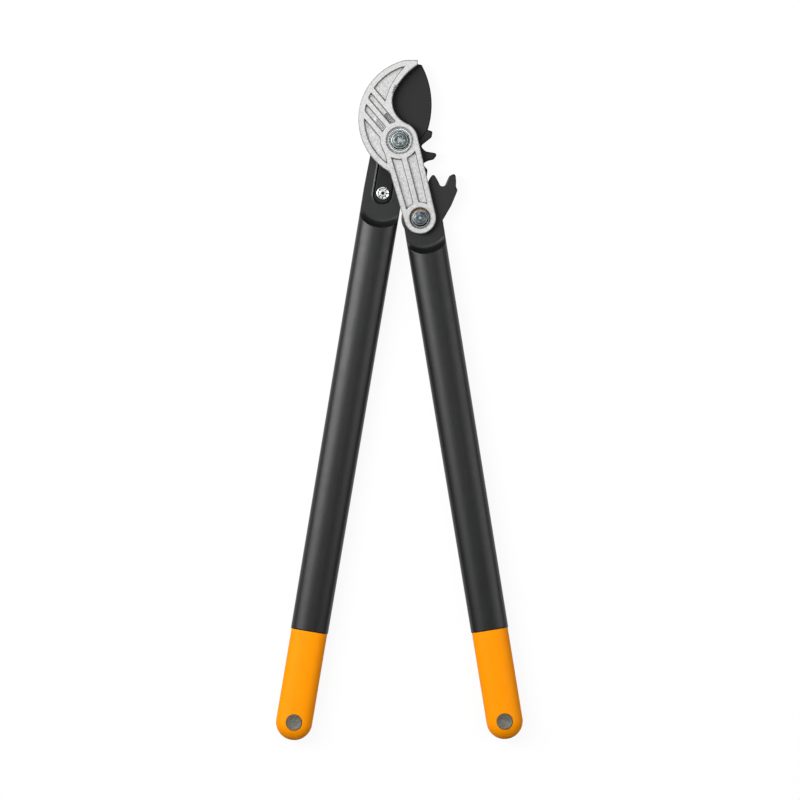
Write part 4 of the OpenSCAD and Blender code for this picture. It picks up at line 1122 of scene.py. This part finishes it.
class LOPPER_OT_left_handle(bpy.types.Operator):
    """Left handle: oval tube with a scooped neck and the tang's pocket"""
    bl_idname = "lopper.left_handle"
    bl_label = "Left handle"

    def execute(self, context):
        scene = context.scene
        h, b = scene.lopper_handles, scene.lopper_blade
        w = h.tube_w
        start, up, _ = handle_frame(scene, "left")
        flat, low = front_of("right_link_bush"), back_of("tang_nut")
        x, y, z = handle_rings(scene, "left", NECK_TOP * w)
        # Above the tube the neck narrows on its right and clears the blade's hub
        left, right = (np.interp(-y / w, *shares) * w for shares in (NECK_LEFT, NECK_RIGHT))
        pivot_x, pivot_y = right_of(up) @ -start, up @ -start
        aside = np.sqrt(np.maximum((b.hub_r + h.hub_gap) ** 2 - (pivot_y - y) ** 2, 0))
        right = np.where(aside > 0, np.minimum(right, pivot_x - aside), right)
        x = np.where(y < -NECK_FOOT * w, x, np.clip(x, left, right))
        # The tang's pocket: a round-ended slot sunk to the blade's back, with an eased lip
        inside = b.tang_r + h.pocket_gap - np.hypot(x, np.maximum(-y - b.tang_sink, 0))
        sunk = (flat - back_of("blade")) * ease((inside + 0.25 * MM) / (0.9 * MM))
        # A low bead follows the left of its rim
        crest = np.clip(1 - (np.abs(inside + 0.5 * MM) / (0.9 * MM)) ** 2, 0, 1)
        bead = h.bead * crest * ease(-x / (6 * MM)) * (y > 8 * MM - h.left_drop)
        z = np.where(z > flat - 3 * MM, np.maximum(z - sunk + bead, low), z)
        # The tang nut's hexagon seat in the back: as deep as the nut, with clearance round it
        corner = node_points("tang_nut")[:, :2] - start
        reach = np.linalg.norm(corner, axis=-1)
        first = heading(corner[reach.argmax()])
        here = placed(np.zeros(2), up, x, y, z)[..., :2]
        flats = np.max([here @ polar(1, first + 30 + 60 * k) for k in range(6)], 0)
        seat_r = reach.max() * math.cos(math.pi / 6) + h.nut_gap
        seat = ease((seat_r - flats) / (0.35 * MM) + 0.5)
        z = np.where(z < low + 2 * MM, z + seat * (front_of("tang_nut") - z), z)
        make_piece("left_handle_moulding", tube_skin(scene, "left", x, y, z),
                   handle_polyamide(scene.lopper_colours), "blade_side", ["left_handle"])
        return {"FINISHED"}


class LOPPER_OT_right_handle(bpy.types.Operator):
    """Right handle: oval tube with a scooped neck, round head and gear fork"""
    bl_idname = "lopper.right_handle"
    bl_label = "Right handle"

    def execute(self, context):
        scene = context.scene
        h = scene.lopper_handles
        tube = tube_skin(scene, "right", *handle_rings(scene, "right", 0))
        link = middle("link_bolt")
        fork = polygon(link + rounded(FORK_SHARES, np.linalg.norm(link)))
        outline = cut(union(disc(link, h.head_r), fork), disc(link, h.bush_bore_r))
        # The head and fork lie a hair inside the neck's flats
        sink = 0.03 * MM
        flat, low = front_of("right_link_bush") - sink, back_of("tang_nut") + sink

        def front(p, depth):
            return flat - edge_drop(depth, h.head_round, SOFT_FALL)

        def back(p, depth):
            well = h.well_d * ease((h.well_r - np.linalg.norm(p - link, axis=-1)) / (0.8 * MM) + 0.5)
            return low + np.maximum(edge_drop(depth, h.head_round), well)

        low_corner, high_corner = link + np.array(FORK_ROOM) * MM
        head, depth = plate_skin(outline, low_corner, high_corner, h.pitch, front, back)
        make_piece("right_handle_moulding", joined(tube, head), handle_polyamide(scene.lopper_colours),
                   "right_side", ["right_handle"],
                   rim=np.append(np.zeros(len(tube[0]), bool), depth < ON_RIM))
        return {"FINISHED"}


class LOPPER_OT_grips(bpy.types.Operator):
    """Orange grips with round ends, and the pins that hold them"""
    bl_idname = "lopper.grips"
    bl_label = "Grips"

    def execute(self, context):
        scene = context.scene
        g, h = scene.lopper_grips, scene.lopper_handles
        rubber, grey = grip_polymer(scene.lopper_colours), pin_polymer(scene.lopper_colours)
        half, close = g.width / 2, g.length - 9 * MM
        # Upper edge, straight sleeve with close rings at the pin, then a round end: sections scaled by
        # the cosine of the turn, with rings that crowd towards the tip
        lip = np.linspace(0, np.pi / 2, 6)
        sleeve = np.concatenate([np.linspace(2 * MM, close, 20), np.linspace(close, g.length, 37)[1:]])
        sine = np.concatenate([np.linspace(0, 0.5, 37)[1:], 1 - np.linspace(0.5 ** 0.5, 0.02, 36)[1:] ** 2])
        down = np.concatenate([g.lip * (1 - np.cos(lip)), sleeve, g.length + sine * half])
        scale = np.concatenate([1 - g.lip * (1 - np.sin(lip)) / half, np.ones(len(sleeve)),
                                np.cos(np.arcsin(sine))])
        x, z = oval(g.width * scale, g.depth * scale, h.squareness, GRIP_POINTS)
        down = np.broadcast_to(down[:, None], x.shape)
        # The pin's seats: the front and back fall to 2 mm below its faces inside its radius
        seat = g.depth / 2 - g.pin_seat
        inside = ease((g.pin_r + g.pin_gap - np.hypot(x, down - g.length)) / (0.35 * MM))
        z = z + inside * (np.clip(z, -seat, seat) - z)
        for side, body in (("left", "blade_side"), ("right", "right_side")):
            start, up, length = handle_frame(scene, side)
            rings = placed(start, up, x, -length - down, h.tube_d / 2 + z)
            make_piece(f"{side}_grip_sleeve", ring_skin(rings), rubber, body,
                       [f"{side}_grip"])
            node, e, r = f"{side}_grip_pin", g.pin_round, g.pin_r
            low, high = back_of(node), front_of(node)
            # Rows of radius, height and painted shade, darkening the pin's rim and sides; the front is
            # dished, falling as 1 - k² from rim to middle
            rows = [(r - 2 * e, low, 0), (r - e, low, 0.9), (r, low + e, 0.9), (r, high - e, 0.9),
                    (r - 0.3 * e, high - 0.3 * e, 0.9), (r - e, high, 0.9), (r - 2.5 * e, high, 0)]
            rows += [(k * (r - 2.5 * e), high - g.pin_dish * (1 - k * k), 0)
                     for k in np.linspace(0.9, 0.1, 9)]
            profile, painted_shade = np.array(rows)[:, :2], np.array(rows)[:, 2]
            rings = lathe_rings(middle(node), profile, PIN_POINTS)
            make_piece(f"{side}_pin", ring_skin(rings), grey, body, [node],
                       marks={"painted_shade": np.append(np.repeat(painted_shade, PIN_POINTS), [0, 0])})
        return {"FINISHED"}


# Fasteners

def turned_rows(centre, turn, rows):
    """Turned piece from rows (radius, height, painted highlight, painted shade), each a number or one value
    for each turn.
    """
    r, z, painted_highlight, painted_shade = (np.stack([np.broadcast_to(row[k], turn.shape) for row in rows]) for k in range(4))
    flat = np.asarray(centre) + np.stack([r * np.cos(turn), r * np.sin(turn)], -1)
    return np.concatenate([flat, z[..., None]], -1), painted_highlight.ravel(), painted_shade.ravel()


def bolt_skin(f, centre, seat, top, head_r, rim, drive, shank_r, foot, shine):
    """Bolt: a head with a raised rim and a six-lobed recess of radius r(0.84 + 0.16 cos 6a), on a shank."""
    turn = np.linspace(0, 2 * np.pi, f.facets, endpoint=False)
    lobe = drive * (0.84 + 0.16 * np.cos(6 * turn))
    floor, dish, e, inner = top - 0.35 * (top - seat), 0.3 * MM, f.edge, head_r - rim
    soft, moat, bank = 0.2 * MM, 0.6 * MM, 0.9 * MM
    # A painted highlight lightens the rim and a ragged star in the recess, and painted shade darkens the
    # head's foot and the moat inside the rim
    star = shine * np.clip(0.5 + 0.5 * np.cos(3 * turn + 0.6) + 0.25 * np.cos(5 * turn), 0, 1)
    rings, painted_highlight, painted_shade = turned_rows(centre, turn, [
        (POLE_R, foot, 0, 0), (shank_r, foot, 0, 0), (shank_r, seat, 0, 0),
        (head_r - soft, seat, 0, 0.9), (head_r, seat + soft, 0, 0.9), (head_r, top - e, 0.2, 0.4),
        (head_r - 0.3 * e, top - 0.3 * e, 0.5, 0), (head_r - e, top, 0.6, 0), (inner, top, 0.5, 0),
        (inner - soft, top - dish, 0, 0.75), (inner - moat, top - dish, 0, 0.6),
        (inner - bank, top - 0.5 * dish, 0, 0), (lobe * 1.12, top - 0.5 * dish, star * 0.4, 0),
        (lobe, top - dish, star * 0.7, 0), (lobe * 0.8, floor, star, 0), (lobe * 0.1, floor, 1, 0)])
    return ring_skin(rings), {"painted_highlight": np.append(painted_highlight, [0, 1]), "painted_shade": np.append(painted_shade, [0, 0])}


def washer_skin(f, centre, bore, r, low, high, groove, half, head_r):
    """Washer: a turned ring with a groove, a moat round the bolt's head, and serrations at its upper left."""
    turn = np.linspace(0, 2 * np.pi, 4 * f.facets, endpoint=False)
    press = f.serration * (0.5 + 0.5 * np.sign(np.sin(46 * turn))) * np.clip(np.cos(turn - 2.4), 0, 1)
    soft, ease_w, slope, sunk = 0.3 * MM, 0.4 * MM, 0.2 * MM, high - 0.5 * MM
    bank, lap, shade = 0.8 * MM, 0.5 * MM, 0.3 * MM
    # Painted highlight on the washer's rim and upper face, painted shade in its groove and in the moat round
    # the head
    rings, painted_highlight, painted_shade = turned_rows(centre, turn, [
        (bore, low, 0, 0), (r - soft, low, 0, 0), (r, low + soft, 0, 0), (r, high - ease_w, 0.5, 0),
        (r - ease_w, high - press, 0.9, 0), (groove + half + slope, high - press, 0.8, 0),
        (groove + half, sunk, 0, 0.8), (groove - half, sunk, 0, 0.8), (groove - half - slope, high, 0.6, 0),
        (head_r + bank, high, 0.6, 0), (head_r + lap, sunk, 0, 1), (head_r - shade, sunk, 0, 1),
        (head_r - lap, high, 0, 1), (bore, high, 0, 1)])
    return band_skin(rings), {"painted_highlight": painted_highlight, "painted_shade": painted_shade}


def screw_skin(f, centre, low, seat, top):
    """Screw: eight radial notches between its head's plain rim and a raised ring round a deep hole."""
    turn = np.linspace(0, 2 * np.pi, 4 * f.facets, endpoint=False)
    notch = ease((np.cos(8 * turn + 0.6) - 0.3) / 0.3)
    cut_z, dark, hole = top - (0.3 + 0.7 * notch) * MM, notch * 0.75, top - f.tang_hole_d
    # Painted highlight on the head's rings and notches, painted shade in the notches, round the head's foot
    # and down the hole
    rings, painted_highlight, painted_shade = turned_rows(centre, turn, [
        (POLE_R, low, 0, 0), (f.tang_shank_r, low, 0, 0), (f.tang_shank_r, seat, 0, 0),
        (f.tang_head_r - 0.1 * MM, seat, 0, 0.9), (f.tang_head_r, seat + 0.2 * MM, 0, 0.9),
        (f.tang_head_r, top - 0.7 * MM, 0.3, 0.3), (6.1 * MM, top - 0.25 * MM, 1, 0),
        (5.6 * MM, top - 0.1 * MM, 1, 0), (5.2 * MM, cut_z, 0.9, dark), (3.6 * MM, cut_z, 0.9, dark),
        (3.3 * MM, top - 0.25 * MM, 1, 0.15), (2.9 * MM, top, 1, 0), (1.8 * MM, top, 1, 0),
        (1.5 * MM, top - 0.2 * MM, 0, 0.9), (1.3 * MM, hole, 0, 1), (POLE_R, hole, 0, 1)])
    return ring_skin(rings), {"painted_highlight": np.append(painted_highlight, [0, 0]), "painted_shade": np.append(painted_shade, [0, 1])}


class LOPPER_OT_fasteners(bpy.types.Operator):
    """Bolts, screw, washers, bushes and nuts"""
    bl_idname = "lopper.fasteners"
    bl_label = "Fasteners"

    def execute(self, context):
        scene = context.scene
        f, colours = scene.lopper_fasteners, scene.lopper_colours
        zinc, blued, plain = (plated_steel(name, colour, worn, 0.38, 0.52) for name, colour, worn in (
            ("zinc_plated_steel", colours.zinc, colours.zinc_bright),
            ("blue_zinc_steel", colours.zinc_blue, colours.zinc_bright),
            ("plain_washer_steel", colours.washer, colours.bright)))
        bronze = sintered_bronze(colours)
        link = middle("link_bolt")
        for name, centre, washer, r, rim, drive, shank, shine, finish in (
                ("pivot_bolt", (0, 0), "pivot_washer", f.pivot_head_r, f.pivot_rim, f.pivot_drive,
                 f.pivot_shank_r, 1, zinc),
                ("link_bolt", link, "link_washer", f.link_head_r, f.link_rim, f.link_drive,
                 f.link_shank_r, 0.5, blued)):
            skin, marks = bolt_skin(f, centre, front_of(washer), front_of(name), r, rim, drive, shank,
                                    back_of(name), shine)
            make_piece(f"{name}_head", skin, finish, "arm", [name], 30, marks)
        for name, centre, bore, r, groove, half, head_r in (
                ("pivot_washer", np.zeros(2), f.pivot_washer_bore, f.pivot_washer_r, f.pivot_groove_r,
                 0.15 * MM, f.pivot_head_r),
                ("link_washer", link + np.array(LINK_WASHER_SHIFT) * MM, f.link_washer_bore, f.link_washer_r,
                 f.link_groove_r, 0.05 * MM, f.link_head_r)):
            skin, marks = washer_skin(f, centre, bore, r, back_of(name), front_of(name), groove, half, head_r)
            make_piece(f"{name}_ring", skin, plain, "arm", [name], 25, marks)
        skin, marks = screw_skin(f, middle("tang_screw"), back_of("tang_screw"), front_of("blade"),
                                 front_of("tang_screw"))
        bright = plated_steel("bright_zinc_screw", colours.zinc_bright, colours.bright, 0.3, 0.45)
        make_piece("tang_screw_head", skin, bright, "blade_side", ["tang_screw"], 30, marks)
        for node, finish in (("front_thrust_washer", plain), ("rear_thrust_washer", plain),
                             ("pivot_nut", zinc), ("link_bush", bronze), ("link_rear_washer", plain),
                             ("link_nut", zinc), ("blade_bush", bronze), ("tang_nut", zinc),
                             ("right_link_bush", bronze)):
            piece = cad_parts[node]
            piece.data.materials.clear()
            piece.data.materials.append(finish)
            piece.modifiers.new("Weld", "WELD").merge_threshold = 0.01 * MM
            bevel = piece.modifiers.new("Bevel", "BEVEL")
            bevel.width, bevel.segments, bevel.limit_method = f.bevel, 3, "ANGLE"
            bevel.angle_limit = math.radians(40)
        return {"FINISHED"}


# Stage

class LOPPER_OT_stage(bpy.types.Operator):
    """Paper floor, soft lights and the camera above the tool"""
    bl_idname = "lopper.stage"
    bl_label = "Stage"

    def execute(self, context):
        scene = context.scene
        t = scene.lopper_stage
        mesh = bpy.data.meshes.new("paper_floor")
        corners = [(-1, -1), (1, -1), (1, 1), (-1, 1)]
        mesh.from_pydata([(x * t.floor_half, y * t.floor_half, -t.floor_drop) for x, y in corners], [],
                         [(0, 1, 2, 3)])
        mesh.materials.append(studio_paper(scene.lopper_colours))
        floor = bpy.data.objects.new("paper_floor", mesh)
        scene.collection.objects.link(floor)
        centre = Vector((t.centre_x, t.centre_y, 0))
        for name, place, width, power in (("key", KEY_PLACE, 0.85, t.key), ("fill", FILL_PLACE, 0.8, t.fill),
                                          ("crown", CROWN_PLACE, 0.6, t.crown)):
            lamp = bpy.data.lights.new(name, "AREA")
            lamp.shape, lamp.size, lamp.size_y, lamp.energy = "RECTANGLE", width, width * LAMP_ASPECT, power
            lit = bpy.data.objects.new(name, lamp)
            lit.location = centre + Vector(place)
            lit.rotation_euler = (-Vector(place)).to_track_quat("-Z", "Y").to_euler()
            scene.collection.objects.link(lit)
        # Sky: bright overhead, falling to a dim horizon
        world = bpy.data.worlds.new("studio_sky")
        scene.world = world
        world.use_nodes = True
        tree = world.node_tree
        tree.nodes.clear()
        place = add_node(tree, "TexCoord").outputs["Generated"]
        upward = add_node(tree, "SeparateXYZ", {"Vector": place}).outputs["Z"]
        glow = add_node(tree, "MapRange", {"Value": upward, "From Min": 0.25, "From Max": 0.85,
                                           "To Min": t.horizon, "To Max": t.zenith},
                        interpolation_type="SMOOTHSTEP")
        sky = add_node(tree, "Background", {"Color": (1, 1, 1, 1), "Strength": glow.outputs[0]})
        add_node(tree, "OutputWorld", {"Surface": sky.outputs[0]})
        data = bpy.data.cameras.new("camera")
        data.sensor_width = SENSOR
        data.lens = SENSOR * (t.distance - t.level) / t.width
        data.clip_end = 100
        camera = bpy.data.objects.new("camera", data)
        camera.location = (t.centre_x, t.centre_y, t.distance)
        camera.rotation_euler = (0, 0, t.roll)
        scene.collection.objects.link(camera)
        scene.camera = camera
        scene.view_settings.view_transform = "Standard"
        return {"FINISHED"}


class LOPPER_PT_sidebar(bpy.types.Panel):
    """Buttons that make the pieces, and the sizes and colours behind them"""
    bl_idname = "LOPPER_PT_sidebar"
    bl_label = "Geared anvil lopper"
    bl_space_type = "VIEW_3D"
    bl_region_type = "UI"
    bl_category = "Lopper"

    def draw(self, context):
        for operator in OPERATORS:
            self.layout.operator(operator.bl_idname)
        for key, group in SETTINGS.items():
            box = self.layout.box()
            box.label(text=group.__doc__)
            for name in group.__annotations__:
                box.prop(getattr(context.scene, key), name)


OPERATORS = (LOPPER_OT_stage, LOPPER_OT_casting, LOPPER_OT_blade, LOPPER_OT_left_handle,
             LOPPER_OT_right_handle, LOPPER_OT_grips, LOPPER_OT_fasteners)


def register():
    """Register the classes, and hang each group of settings on the scene."""
    for group in (*SETTINGS.values(), *OPERATORS, LOPPER_PT_sidebar):
        bpy.utils.register_class(group)
    for key, group in SETTINGS.items():
        setattr(bpy.types.Scene, key, PointerProperty(type=group))


def unregister():
    """Take the settings and the classes away again."""
    for key in SETTINGS:
        delattr(bpy.types.Scene, key)
    for group in (LOPPER_PT_sidebar, *reversed(OPERATORS), *reversed(SETTINGS.values())):
        bpy.utils.unregister_class(group)


def main():
    """Register, and make every piece in order."""
    register()
    bpy.ops.lopper.stage()
    bpy.ops.lopper.casting()
    bpy.ops.lopper.blade()
    bpy.ops.lopper.left_handle()
    bpy.ops.lopper.right_handle()
    bpy.ops.lopper.grips()
    bpy.ops.lopper.fasteners()


if __name__ == "__main__":
    main()
